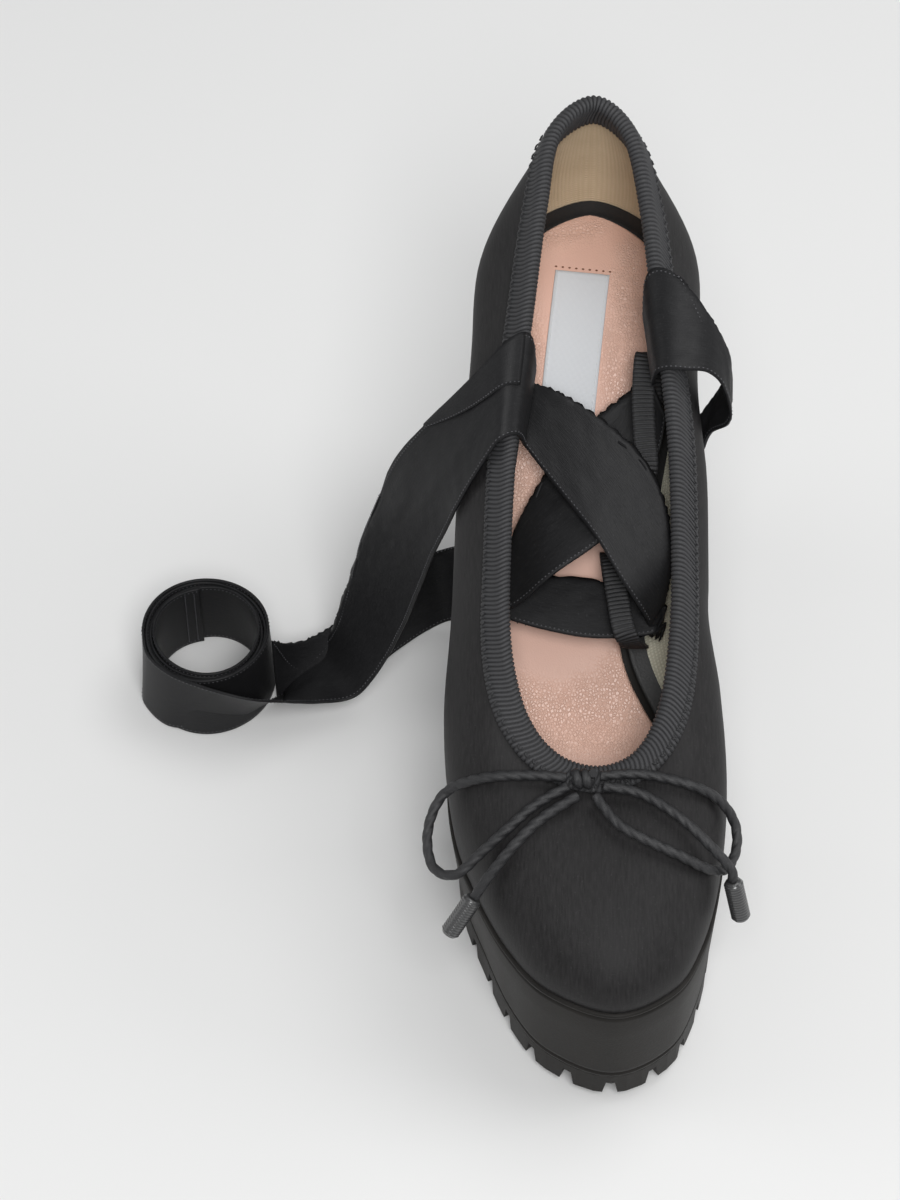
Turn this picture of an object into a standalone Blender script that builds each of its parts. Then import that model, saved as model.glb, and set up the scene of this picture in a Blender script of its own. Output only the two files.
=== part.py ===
"""Platform pump for the right foot: satin upper on a lugged platform, with a block heel.

Metres, +Z up. The shoe stands on the floor at Z = 0, its toe towards -Y and its
medial side, where the big toe lies, towards +X.
"""

import math

import bmesh
import bpy
import numpy as np
from mathutils import Vector

# Driving sizes
LENGTH = 0.229
BALL_WIDTH = 0.0805
HEEL_HEIGHT = 0.1330
PLATFORM_HEIGHT = 0.0455
TOE_SPRING = 0.0050
BACK_HEIGHT = 0.0490
INSTEP_HEIGHT = 0.0320
UPPER_WALL = 0.0018
SHANK_THICKNESS = 0.0070
TREAD_THICKNESS = 0.0100
LEDGE = 0.0010
INSOLE_THICKNESS = 0.0025
INSOLE_MARGIN = 0.0006
INSOLE_GAP = 0.0006
CLEARANCE = 0.0003

# Tread: lugs cut from a slab by notches from its rim and channels inside
LUG_HEIGHT = 0.0062
LUG_PITCH = 0.0135
NOTCH_FOOT_WIDTH = 0.0052
NOTCH_ROOT_WIDTH = 0.0026
NOTCH_DEPTH = 0.0120
HEEL_NOTCH_DEPTH = 0.0090
CHANNEL_WIDTH = 0.0040
TREAD_END = 0.600
LADDER_END = 0.930

# Heel block: where its breast and back stand, and how far it narrows to the floor
HEEL_BREAST = 0.270
HEEL_BREAST_LEAN = 0.0040
HEEL_BACK_LEAN = 0.0080
HEEL_SIDE_LEAN = 0.0035
HEEL_WAIST = 0.0030
HEEL_TREAD_THICKNESS = 0.0080

# Topline binding, and the loops of the same tape that hold the ribbon
TAPE_THICKNESS = 0.0009
BINDING_WIDTH = 0.0068
BINDING_GAP = 0.0005
LOOP_WIDTH = 0.0065

# Blank label on the insole
LABEL_WIDTH = 0.0160
LABEL_LENGTH = 0.0480
LABEL_THICKNESS = 0.0004
LABEL_AHEAD = 0.0500
LABEL_TURN = math.radians(7)

# Ribbon: lacing, two tails and the roll that they end in
RIBBON_WIDTH = 0.0280
RIBBON_THICKNESS = 0.0007
ROLL_RADIUS = 0.0208
ROLL_WALL = 0.0045
ROLL_PLACE = (-0.1145, 0.0320)

# Drawcord bow at the throat
CORD_DIAMETER = 0.0030
KNOT_LENGTH = 0.0085
KNOT_WIDTH = 0.0062
AGLET_DIAMETER = 0.0056
AGLET_LENGTH = 0.0135

# The last's axis lies this far to the medial side of the middle of the shoe's box
AXIS_SHIFT = 0.0060 * BALL_WIDTH

# One row a section. Feet of the wall stand on the sole at foot_along, and its edge, the
# topline, lies at top_along. Both are shares of LENGTH from the heel's back. The medial and
# lateral places are shares of BALL_WIDTH from the last's axis, and top_rise is the share of
# the topline's climb from throat to back. The last four are the wall's handles, as shares
# of the straight way from foot to topline: out and up at the foot, out and down at the top.
SECTION_COLUMNS = (
    "foot_along", "foot_medial", "foot_lateral",
    "top_along", "top_medial", "top_lateral", "top_rise",
    "foot_out_medial", "foot_out_lateral", "foot_up", "top_out", "top_down",
)
SECTIONS = (
    (0.015, 0.025, 0.025, 0.015, 0.022, 0.022, 1.000, 0.12, 0.12, 0.34, 0.05, 0.34),
    (0.057, 0.245, -0.212, 0.052, 0.158, -0.130, 0.962, 0.16, 0.16, 0.34, 0.12, 0.34),
    (0.135, 0.342, -0.323, 0.131, 0.218, -0.180, 0.866, 0.33, 0.33, 0.34, 0.20, 0.34),
    (0.245, 0.318, -0.348, 0.245, 0.262, -0.228, 0.722, 0.39, 0.37, 0.34, 0.27, 0.33),
    (0.376, 0.222, -0.373, 0.376, 0.312, -0.284, 0.538, 0.55, 0.34, 0.32, 0.34, 0.30),
    (0.507, 0.168, -0.435, 0.507, 0.328, -0.310, 0.332, 0.61, 0.20, 0.32, 0.27, 0.26),
    (0.629, 0.362, -0.488, 0.585, 0.317, -0.306, 0.208, 0.29, 0.08, 0.32, 0.35, 0.20),
    (0.734, 0.478, -0.472, 0.646, 0.286, -0.268, 0.120, 0.05, 0.04, 0.32, 0.43, 0.10),
    (0.821, 0.462, -0.394, 0.684, 0.240, -0.208, 0.062, 0.04, 0.04, 0.32, 0.47, 0.05),
    (0.904, 0.395, -0.283, 0.708, 0.178, -0.132, 0.025, 0.05, 0.05, 0.31, 0.50, 0.03),
    (0.965, 0.292, -0.143, 0.720, 0.106, -0.052, 0.006, 0.05, 0.05, 0.29, 0.50, 0.03),
    (0.999, 0.087, 0.087, 0.724, 0.029, 0.029, 0.000, 0.05, 0.05, 0.27, 0.50, 0.04),
)

# The sole seen from the side, a row each at a share of LENGTH from the heel's back. rise is
# the share of the climb from the platform to the heel seat, spring that of TOE_SPRING, and
# under the underside's share of the way from the tread up to the shank below the seat.
PROFILE_COLUMNS = ("along", "rise", "spring", "under")
PROFILE = (
    (-0.02, 1.005, 0.0, 1.010),
    (0.06, 0.985, 0.0, 0.990),
    (0.13, 0.952, 0.0, 0.963),
    (0.20, 0.895, 0.0, 0.918),
    (0.27, 0.800, 0.0, 0.845),
    (0.34, 0.655, 0.0, 0.733),
    (0.42, 0.460, 0.0, 0.575),
    (0.47, 0.340, 0.0, 0.455),
    (0.52, 0.228, 0.0, 0.270),
    (0.56, 0.155, 0.0, 0.090),
    (0.595, 0.100, 0.0, 0.000),
    (0.72, 0.008, 0.0, 0.000),
    (0.80, 0.000, 0.08, 0.000),
    (0.90, 0.000, 0.42, 0.000),
    (1.01, 0.000, 1.06, 0.000),
)

# How far the platform's wall draws in from its top to the tread, as a share of BALL_WIDTH
TAPER_COLUMNS = ("along", "medial", "lateral")
TAPER = (
    (0.00, 0.020, 0.020),
    (0.40, 0.012, 0.030),
    (0.60, 0.016, 0.044),
    (0.80, 0.018, 0.046),
    (0.92, 0.012, 0.022),
    (1.00, 0.000, 0.000),
)


def column(table, names, name):
    """One named column of a table, as an array."""
    return np.array([row[names.index(name)] for row in table], float)


def along_table(table, names, name, along):
    """A column read at a share of the length, on a smooth curve that never overshoots."""
    places = column(table, names, "along")
    values = column(table, names, name)
    chords = np.diff(values) / np.diff(places)
    slopes = np.concatenate([chords[:1], np.zeros(len(chords) - 1), chords[-1:]])
    for k in range(1, len(chords)):
        before, after = chords[k - 1], chords[k]
        if before * after > 0:
            slopes[k] = 2 * before * after / (before + after)
    i = int(np.clip(np.searchsorted(places, along) - 1, 0, len(places) - 2))
    span = places[i + 1] - places[i]
    t = float(np.clip((along - places[i]) / span, 0.0, 1.0))
    start = (1 + 2 * t) * (1 - t) ** 2 * values[i] + t * (1 - t) ** 2 * span * slopes[i]
    end = t * t * (3 - 2 * t) * values[i + 1] - t * t * (1 - t) * span * slopes[i + 1]
    return float(start + end)


def place_y(along):
    """World Y of a share of the length, with the toe's ledge counted in the box."""
    return LENGTH * (0.5 - along) + LEDGE / 2


def share_of(y):
    """Share of the length at a world Y."""
    return 0.5 - (y - LEDGE / 2) / LENGTH


def sole_top(y):
    """Height of the sole's upper face, on which the foot's bed and the upper stand."""
    along = share_of(y)
    climb = HEEL_HEIGHT - PLATFORM_HEIGHT
    rise = along_table(PROFILE, PROFILE_COLUMNS, "rise", along)
    spring = along_table(PROFILE, PROFILE_COLUMNS, "spring", along)
    return PLATFORM_HEIGHT + climb * rise + TOE_SPRING * spring


def sole_under(y):
    """Height of the sole unit's underside: on the tread, then up under the shank."""
    along = share_of(y)
    climb = HEEL_HEIGHT - SHANK_THICKNESS - TREAD_THICKNESS
    under = along_table(PROFILE, PROFILE_COLUMNS, "under", along)
    spring = along_table(PROFILE, PROFILE_COLUMNS, "spring", along)
    return TREAD_THICKNESS + climb * under + TOE_SPRING * spring


# The sections closed into one loop: heel, medial side, toe, lateral side
LAST_ROW = len(SECTIONS) - 1
LOOP_ROWS = 2 * LAST_ROW


def loop_column(name):
    """A section column carried once round the shoe, from the heel by the medial side."""
    if name + "_medial" in SECTION_COLUMNS:
        inner = column(SECTIONS, SECTION_COLUMNS, name + "_medial")
        outer = column(SECTIONS, SECTION_COLUMNS, name + "_lateral")
    else:
        inner = outer = column(SECTIONS, SECTION_COLUMNS, name)
    return np.concatenate([inner, outer[LAST_ROW - 1:0:-1]])


LOOPS = {
    name: loop_column(name)
    for name in (
        "foot", "foot_along", "top", "top_along", "top_rise",
        "foot_out", "foot_up", "top_out", "top_down",
    )
}


def around(name, turn):
    """A loop column at a place round the shoe, counted in rows, on a smooth closed curve."""
    values = LOOPS[name]
    i = math.floor(turn)
    t = turn - i
    a, b, c, d = (values[(i + k) % LOOP_ROWS] for k in (-1, 0, 1, 2))
    return 0.5 * (
        2 * b + (c - a) * t + (2 * a - 5 * b + 4 * c - d) * t * t + (3 * b - a - 3 * c + d) * t ** 3
    )


def foot_point(turn):
    """Where the wall's outer face meets the sole."""
    y = place_y(around("foot_along", turn))
    return Vector((around("foot", turn) * BALL_WIDTH + AXIS_SHIFT, y, sole_top(y) + CLEARANCE))


def top_point(turn):
    """The wall's outer edge at the topline."""
    y = place_y(around("top_along", turn))
    edge_along = column(SECTIONS, SECTION_COLUMNS, "top_along")
    throat = sole_top(place_y(edge_along[-1])) + INSTEP_HEIGHT
    back = sole_top(place_y(edge_along[0])) + BACK_HEIGHT
    z = throat + (back - throat) * around("top_rise", turn)
    return Vector((around("top", turn) * BALL_WIDTH + AXIS_SHIFT, y, z))


def outward(point, turn):
    """Level direction away from the shoe's inside, square to a loop at one place."""
    step = 0.05
    way = point(turn + step) - point(turn - step)
    return Vector((way.y, -way.x, 0.0)).normalized() * -1.0


def wall_point(turn, height):
    """The upper's outer face, height 0 at the sole and 1 at the topline."""
    foot = foot_point(turn)
    top = top_point(turn)
    reach = (top - foot).length
    rise = Vector((0.0, 0.0, reach))
    low = foot + outward(foot_point, turn) * reach * around("foot_out", turn)
    low += rise * around("foot_up", turn)
    high = top + outward(top_point, turn) * reach * around("top_out", turn)
    high -= rise * around("top_down", turn)
    t = height
    s = 1.0 - t
    return foot * s ** 3 + low * 3 * s * s * t + high * 3 * s * t * t + top * t ** 3


def wall_normal(turn, height):
    """Outward direction square to the upper's outer face."""
    step = 0.02
    round_way = wall_point(turn + step, height) - wall_point(turn - step, height)
    up_way = wall_point(turn, min(height + step, 1.0)) - wall_point(turn, max(height - step, 0.0))
    return up_way.cross(round_way).normalized()


def wall_offset(turn, height, depth):
    """A point of the wall moved in from its outer face."""
    return wall_point(turn, height) - wall_normal(turn, height) * depth


def finish(name, mesh, material, smooth_angle=None):
    """Puts a finished mesh in the scene as one named piece."""
    mesh.name = name
    mesh.materials.append(material)
    if smooth_angle is not None:
        mesh.shade_smooth()
        mesh.set_sharp_from_angle(angle=smooth_angle)
    piece = bpy.data.objects.new(name, mesh)
    bpy.context.scene.collection.objects.link(piece)
    return piece


def surface_material(name, colour, roughness, metallic=0.0):
    """A plain surface of one colour."""
    material = bpy.data.materials.new(name)
    material.use_nodes = True
    shader = material.node_tree.nodes["Principled BSDF"]
    shader.inputs["Base Color"].default_value = (*colour, 1.0)
    shader.inputs["Roughness"].default_value = roughness
    shader.inputs["Metallic"].default_value = metallic
    return material


def lofted(rings, ring_shaped=False):
    """A closed body through rings of points, with two ends or joined end to end."""
    body = bmesh.new()
    loops = [[body.verts.new(point) for point in ring] for ring in rings]
    count = len(rings[0])
    following_loops = loops[1:] + loops[:1] if ring_shaped else loops[1:]
    for low, high in zip(loops, following_loops):
        for k in range(count):
            following = (k + 1) % count
            body.faces.new((low[k], low[following], high[following], high[k]))
    if not ring_shaped:
        body.faces.new(loops[0][::-1])
        body.faces.new(loops[-1])
    bmesh.ops.remove_doubles(body, verts=body.verts, dist=1e-5)
    bmesh.ops.dissolve_degenerate(body, dist=1e-6, edges=body.edges)
    bmesh.ops.triangulate(body, faces=[face for face in body.faces if len(face.verts) > 4])
    bmesh.ops.recalc_face_normals(body, faces=body.faces)
    mesh = bpy.data.meshes.new("loft")
    body.to_mesh(mesh)
    body.free()
    return mesh


# Upper: one wall, open along the topline and underneath
TURN_STEPS = 4
WALL_STEPS = 8


def build_upper(material):
    body = bmesh.new()
    turns = [i / TURN_STEPS for i in range(LOOP_ROWS * TURN_STEPS)]
    heights = [j / WALL_STEPS for j in range(WALL_STEPS + 1)]
    faces_of = []
    for depth in (0.0, UPPER_WALL):
        faces_of.append([
            [body.verts.new(wall_offset(turn, height, depth)) for turn in turns]
            for height in heights
        ])
    outer, inner = faces_of
    count = len(turns)
    for k in range(count):
        n = (k + 1) % count
        for j in range(WALL_STEPS):
            body.faces.new((outer[j][k], outer[j][n], outer[j + 1][n], outer[j + 1][k]))
            body.faces.new((inner[j][n], inner[j][k], inner[j + 1][k], inner[j + 1][n]))
        body.faces.new((outer[0][n], outer[0][k], inner[0][k], inner[0][n]))
        body.faces.new((outer[-1][k], outer[-1][n], inner[-1][n], inner[-1][k]))
    bmesh.ops.recalc_face_normals(body, faces=body.faces)
    mesh = bpy.data.meshes.new("upper")
    body.to_mesh(mesh)
    body.free()
    return finish("upper", mesh, material, math.radians(50))


# Plates that follow the foot's bed: sole unit, insole and tread
STATION_STEPS = 4
ACROSS_STEPS = 4


def rim_point(turn, out):
    """The sole's outline, moved level and outwards from the wall's foot."""
    return foot_point(turn) + outward(foot_point, turn) * out


def plate_sections(first, last, out_top, out_under, top, under, steps=ACROSS_STEPS):
    """Rings across the shoe from one section row to another, between two faces."""
    rings = []
    whole = range(math.floor(first * STATION_STEPS) + 1, last * STATION_STEPS + 1)
    for row in [first] + [k / STATION_STEPS for k in whole]:
        upper_ends = [rim_point(turn, out_top(turn)) for turn in (row, LOOP_ROWS - row)]
        lower_ends = [rim_point(turn, out_under(turn)) for turn in (row, LOOP_ROWS - row)]
        across = [k / steps for k in range(steps + 1)]
        upper_row = [upper_ends[0].lerp(upper_ends[1], share) for share in across]
        lower_row = [lower_ends[1].lerp(lower_ends[0], share) for share in across]
        upper_row = [Vector((p.x, p.y, top(p.y))) for p in upper_row]
        lower_row = [Vector((p.x, p.y, under(p.y))) for p in lower_row]
        rings.append(upper_row + lower_row)
    return rings


def taper_at(turn):
    """How far the wall has drawn in by the tread, at a place round the shoe."""
    side = "medial" if turn % LOOP_ROWS <= LAST_ROW else "lateral"
    share = along_table(TAPER, TAPER_COLUMNS, side, around("foot_along", turn))
    return share * BALL_WIDTH


def build_sole(material):
    """Platform, shank and heel seat, moulded as one wedge."""
    rings = plate_sections(
        0, LAST_ROW,
        lambda turn: LEDGE,
        lambda turn: LEDGE - taper_at(turn),
        sole_top, sole_under,
    )
    return finish("platform_sole", lofted(rings), material, math.radians(40))


def build_insole(material):
    """Padded sock on the sole, inside the wall."""
    inset = UPPER_WALL + INSOLE_MARGIN + 2 * CLEARANCE
    rings = plate_sections(
        0, LAST_ROW,
        lambda turn: -inset,
        lambda turn: -inset,
        lambda y: sole_top(y) + INSOLE_GAP + INSOLE_THICKNESS,
        lambda y: sole_top(y) + INSOLE_GAP,
        steps=2,
    )
    return finish("insole", lofted(rings), material, math.radians(40))


# Tread and heel
CUT_SPARE = 0.0020
RIM_STEPS = 4


def outline_length(turns, out):
    """Running length along the sole's outline, one value a turn."""
    points = [rim_point(turn, out(turn)).to_2d() for turn in turns]
    lengths = [0.0]
    for a, b in zip(points, points[1:]):
        lengths.append(lengths[-1] + (b - a).length)
    return lengths


def tread_out(turn):
    """The tread's rim, which meets the drawn-in foot of the platform."""
    return LEDGE - taper_at(turn)


def row_at_along(along):
    """The section row, a fraction between two, whose foot lies at a share of the length."""
    places = column(SECTIONS, SECTION_COLUMNS, "foot_along")
    return float(np.interp(along, places, np.arange(len(places))))


def notch(middle, inward, floor, depth):
    """A wedge that opens one gap between two lugs, from outside the rim inwards."""
    side = Vector((-inward.y, inward.x, 0.0))
    start = middle - inward * CUT_SPARE * 2
    end = middle + inward * depth
    profile = (
        (-NOTCH_FOOT_WIDTH / 2, -CUT_SPARE),
        (NOTCH_FOOT_WIDTH / 2, -CUT_SPARE),
        (NOTCH_ROOT_WIDTH / 2, LUG_HEIGHT),
        (-NOTCH_ROOT_WIDTH / 2, LUG_HEIGHT),
    )
    rings = []
    for place in (start, end):
        rings.append([
            Vector((place.x, place.y, floor(place.y))) + side * across + Vector((0, 0, up))
            for across, up in profile
        ])
    return rings


def cutter_from(name, bodies):
    """One guide object of several closed bodies that don't meet."""
    joined = bmesh.new()
    for rings in bodies:
        piece = lofted(rings)
        joined.from_mesh(piece)
        bpy.data.meshes.remove(piece)
    mesh = bpy.data.meshes.new(name)
    joined.to_mesh(mesh)
    joined.free()
    guide = bpy.data.objects.new(name, mesh)
    bpy.context.scene.collection.objects.link(guide)
    guide.hide_render = True
    guide.display_type = "WIRE"
    return guide


def cut(piece, guide):
    """Takes a guide's shape out of a piece."""
    modifier = piece.modifiers.new(guide.name, "BOOLEAN")
    modifier.operation = "DIFFERENCE"
    modifier.solver = "EXACT"
    modifier.object = guide


def floor_height(y):
    """The floor under the heel and ball, lifting towards the toe."""
    return TOE_SPRING * along_table(PROFILE, PROFILE_COLUMNS, "spring", share_of(y))


def flat_floor(y):
    return 0.0


def rim_walk(turns, out, pitch):
    """Places a pitch apart along the outline, counted both ways from its middle turn."""
    lengths = outline_length(turns, out)
    middle = lengths[len(lengths) // 2]
    places = []
    count = int(min(middle, lengths[-1] - middle) / pitch)
    for k in range(-count, count + 1):
        target = middle + k * pitch
        if lengths[0] < target < lengths[-1]:
            places.append(float(np.interp(target, lengths, turns)))
    return places


def build_tread(material):
    """Forefoot tread, with lugs round its rim and a ladder of lugs inside it."""
    end_row = row_at_along(TREAD_END)
    rings = plate_sections(
        end_row, LAST_ROW,
        tread_out, tread_out,
        lambda y: sole_under(y) - CLEARANCE,
        floor_height,
    )
    piece = finish("tread_forefoot", lofted(rings), material, math.radians(35))

    turns = list(np.linspace(end_row, LOOP_ROWS - end_row, 121))
    notches = []
    for turn in rim_walk(turns, tread_out, LUG_PITCH):
        rim = rim_point(turn, tread_out(turn))
        notches.append(notch(rim, -outward(foot_point, turn), floor_height, NOTCH_DEPTH))
    cut(piece, cutter_from("tread_notches", notches))

    channel = []
    for turn in np.linspace(end_row - 0.6, LOOP_ROWS - end_row + 0.6, 57):
        away = outward(foot_point, turn)
        ring = []
        for inset, up in (
            (NOTCH_DEPTH - CHANNEL_WIDTH, -CUT_SPARE), (NOTCH_DEPTH, -CUT_SPARE),
            (NOTCH_DEPTH, LUG_HEIGHT), (NOTCH_DEPTH - CHANNEL_WIDTH, LUG_HEIGHT),
        ):
            point = rim_point(turn, tread_out(turn) - inset)
            ring.append(Vector((point.x, point.y, floor_height(point.y) + up)))
        channel.append(ring)
    cut(piece, cutter_from("tread_channel", [channel]))

    rungs = []
    first = place_y(TREAD_END)
    last = place_y(LADDER_END)
    count = int((first - last) / LUG_PITCH)
    for k in range(1, count + 1):
        y = first - k * (first - last) / (count + 1)
        row = row_at_along(share_of(y))
        inset = NOTCH_DEPTH - CHANNEL_WIDTH / 2
        ends = [rim_point(turn, tread_out(turn) - inset) for turn in (row, LOOP_ROWS - row)]
        rungs.append([
            [
                Vector((end.x, y + across, floor_height(y) + up))
                for across, up in (
                    (-CHANNEL_WIDTH / 2, -CUT_SPARE), (CHANNEL_WIDTH / 2, -CUT_SPARE),
                    (CHANNEL_WIDTH / 2, LUG_HEIGHT), (-CHANNEL_WIDTH / 2, LUG_HEIGHT),
                )
            ]
            for end in ends
        ])
    cut(piece, cutter_from("tread_rungs", rungs))
    return piece


def heel_outline(drop):
    """Level outline of the heel block, drop 0 under the seat and 1 at the floor."""
    row = row_at_along(HEEL_BREAST)
    waist = HEEL_WAIST * math.sin(math.pi * drop)
    steps = round(row * RIM_STEPS)
    points = []
    for i in range(-steps, steps + 1):
        turn = row * i / steps
        point = rim_point(turn % LOOP_ROWS, LEDGE - taper_at(turn % LOOP_ROWS) - CLEARANCE)
        away = outward(foot_point, turn % LOOP_ROWS)
        side = HEEL_SIDE_LEAN * drop + waist
        back = HEEL_BACK_LEAN * drop + waist
        inset = abs(away.x) * side + max(away.y, 0.0) * back
        points.append(point - away * inset)
    breast = place_y(HEEL_BREAST) + HEEL_BREAST_LEAN * drop + waist
    for end in (0, -1):
        points[end].y = breast
    lateral, medial = points[0], points[-1]
    points += [medial.lerp(lateral, k / ACROSS_STEPS) for k in range(1, ACROSS_STEPS)]
    return points


HEEL_LEVELS = 6


def build_heel(material):
    """Block heel under the seat, its back and breast leaning in towards the floor."""
    rings = []
    for level in range(HEEL_LEVELS + 1):
        drop = level / HEEL_LEVELS
        ring = []
        for point in heel_outline(drop):
            seat = sole_under(point.y) - CLEARANCE
            foot = HEEL_TREAD_THICKNESS + CLEARANCE
            ring.append(Vector((point.x, point.y, seat + (foot - seat) * drop)))
        rings.append(ring)
    return finish("heel_block", lofted(rings), material, math.radians(40))


def build_heel_tread(material):
    """Heel's own tread, notched like the forefoot."""
    outline = heel_outline(1.0)
    rings = [[Vector((p.x, p.y, z)) for p in outline] for z in (0.0, HEEL_TREAD_THICKNESS)]
    piece = finish("tread_heel", lofted(rings), material, math.radians(35))

    steps = round(row_at_along(HEEL_BREAST) * RIM_STEPS)
    rim = [Vector((p.x, p.y, 0.0)) for p in outline[:2 * steps + 1]]
    lengths = [0.0]
    for a, b in zip(rim, rim[1:]):
        lengths.append(lengths[-1] + (b - a).length)
    count = int(lengths[-1] / LUG_PITCH)
    notches = []
    for k in range(1, count + 1):
        target = k * lengths[-1] / (count + 1)
        i = int(np.searchsorted(lengths, target)) - 1
        share = (target - lengths[i]) / (lengths[i + 1] - lengths[i])
        way = (rim[i + 1] - rim[i]).normalized()
        inward = Vector((-way.y, way.x, 0.0))
        notches.append(notch(rim[i].lerp(rim[i + 1], share), inward, flat_floor, HEEL_NOTCH_DEPTH))
    cut(piece, cutter_from("heel_notches", notches))
    return piece


# Topline binding
LEG_SAMPLES = 60


def height_below_top(turn, drop):
    """Height share of the wall's point that lies a running length below the topline."""
    heights = np.linspace(1.0, 0.0, LEG_SAMPLES)
    points = [wall_point(turn, height) for height in heights]
    runs = np.cumsum([0.0] + [(b - a).length for a, b in zip(points, points[1:])])
    return float(np.interp(drop, runs, heights))


def edge_up(turn):
    """Direction in which the wall runs out at the topline."""
    step = 0.03
    return (wall_point(turn, 1.0) - wall_point(turn, 1.0 - step)).normalized()


def build_binding(material):
    """Ribbed tape folded over the topline, a leg outside and a leg inside."""
    near = BINDING_GAP
    far = BINDING_GAP + TAPE_THICKNESS
    rings = []
    for i in range(LOOP_ROWS * TURN_STEPS):
        turn = i / TURN_STEPS
        low = height_below_top(turn, BINDING_WIDTH)
        over = edge_up(turn)
        rings.append([
            wall_offset(turn, low, -far),
            wall_offset(turn, 1.0, -far),
            wall_offset(turn, 1.0, 0.0) + over * far,
            wall_offset(turn, 1.0, UPPER_WALL) + over * far,
            wall_offset(turn, 1.0, UPPER_WALL + far),
            wall_offset(turn, low, UPPER_WALL + far),
            wall_offset(turn, low, UPPER_WALL + near),
            wall_offset(turn, 1.0, UPPER_WALL + near) + over * near,
            wall_offset(turn, 1.0, -near) + over * near,
            wall_offset(turn, low, -near),
        ])
    mesh = lofted(rings, ring_shaped=True)
    return finish("topline_binding", mesh, material, math.radians(50))


# Strips: ribbon and tape, each run a row of two edge points
STRIP_STEPS = 2


def bed_point(along, across, rise):
    """A place over the insole, in shares of the length, the ball and the instep height."""
    y = place_y(along)
    return Vector((across * BALL_WIDTH + AXIS_SHIFT, y, sole_top(y) + rise * INSTEP_HEIGHT))


def smooth_rows(rows, steps):
    """Rows of points read on a smooth curve through them."""
    read = []
    last = len(rows) - 1
    for i in range(last):
        a, b, c, d = (rows[min(max(i + k, 0), last)] for k in (-1, 0, 1, 2))
        for step in range(steps):
            t = step / steps
            read.append([
                0.5 * (2 * q + (r - p) * t + (2 * p - 5 * q + 4 * r - s) * t * t
                       + (3 * q - p - 3 * r + s) * t ** 3)
                for p, q, r, s in zip(a, b, c, d)
            ])
    read.append(list(rows[-1]))
    return read


def strip(edges, thickness, steps=STRIP_STEPS, ring_shaped=False):
    """A flat band between two edges, as thick as its cloth."""
    rows = smooth_rows(edges, steps)
    if ring_shaped:
        rows = rows[:-1]
    count = len(rows)
    rings = []
    for k, (left, right) in enumerate(rows):
        if ring_shaped:
            before, after = rows[(k - 1) % count], rows[(k + 1) % count]
        else:
            before, after = rows[max(k - 1, 0)], rows[min(k + 1, count - 1)]
        way = (after[0] + after[1]) - (before[0] + before[1])
        face = way.cross(right - left).normalized() * (thickness / 2)
        rings.append([left - face, right - face, right + face, left + face])
    return lofted(rings, ring_shaped)


# Tape loops sewn in along the insole's edge, a row each: the ribbon runs through them. Each
# point is a share of the length, of the ball and of the instep height over the bed.
LOOP_ROUTES = {
    "loop_medial_front": (
        (0.552, 0.173, 0.128),
        (0.557, 0.165, 0.516),
        (0.544, 0.137, 0.845),
        (0.496, 0.111, 0.701),
        (0.454, 0.097, 0.499),
        (0.434, 0.092, 0.301),
        (0.447, 0.101, 0.250),
        (0.483, 0.121, 0.284),
        (0.520, 0.153, 0.272),
        (0.538, 0.178, 0.202),
        (0.542, 0.182, 0.136),
    ),
    "loop_lateral_front": (
        (0.537, -0.359, 0.116),
        (0.545, -0.361, 0.646),
        (0.535, -0.349, 0.940),
        (0.489, -0.336, 0.879),
        (0.445, -0.330, 0.708),
        (0.417, -0.333, 0.426),
        (0.424, -0.341, 0.235),
        (0.452, -0.351, 0.201),
        (0.485, -0.359, 0.223),
        (0.513, -0.361, 0.219),
        (0.526, -0.361, 0.136),
    ),
    "loop_medial_back": (
        (0.377, 0.138, 0.199),
        (0.392, 0.183, 0.554),
        (0.384, 0.213, 0.784),
        (0.348, 0.205, 0.747),
        (0.306, 0.201, 0.653),
        (0.264, 0.210, 0.565),
        (0.251, 0.225, 0.450),
        (0.271, 0.233, 0.331),
        (0.310, 0.238, 0.245),
        (0.347, 0.213, 0.223),
        (0.359, 0.151, 0.176),
    ),
    "loop_lateral_back": (
        (0.367, -0.308, 0.210),
        (0.365, -0.295, 0.508),
        (0.355, -0.284, 0.691),
        (0.314, -0.262, 0.724),
        (0.277, -0.254, 0.628),
        (0.264, -0.259, 0.490),
        (0.284, -0.271, 0.395),
        (0.319, -0.289, 0.391),
        (0.345, -0.307, 0.271),
        (0.354, -0.314, 0.186),
    ),
}


def build_loop(name, material):
    """One tape loop, its two legs rooted side by side at the insole's edge."""
    middle = [bed_point(*row) for row in LOOP_ROUTES[name]]
    way = (middle[-1] - middle[0])
    rows = []
    for k, point in enumerate(middle):
        before, after = middle[max(k - 1, 0)], middle[min(k + 1, len(middle) - 1)]
        run = (after - before).normalized()
        inward = Vector((1.0, 0.0, 0.0))
        side = (inward - run * inward.dot(run)).normalized() * (LOOP_WIDTH / 2)
        rows.append((point - side, point + side))
    return finish(name, strip(rows, TAPE_THICKNESS), material, math.radians(40))


def build_label(material):
    """Blank woven label lying on the insole."""
    along = Vector((-math.sin(LABEL_TURN), -math.cos(LABEL_TURN), 0.0))
    across = Vector((along.y, -along.x, 0.0))
    back = Vector((0.0, LENGTH / 2 - LABEL_AHEAD + LABEL_LENGTH / 2, 0.0))
    bed = INSOLE_GAP + INSOLE_THICKNESS
    rings = []
    for step in range(9):
        middle = back + along * (LABEL_LENGTH * step / 8)
        ring = []
        for side, lift in ((-1, 0), (1, 0), (1, LABEL_THICKNESS), (-1, LABEL_THICKNESS)):
            point = middle + across * (side * LABEL_WIDTH / 2)
            ring.append(Vector((point.x, point.y, sole_top(point.y) + bed + CLEARANCE + lift)))
        rings.append(ring)
    return finish("insole_label", lofted(rings), material, math.radians(40))


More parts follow.
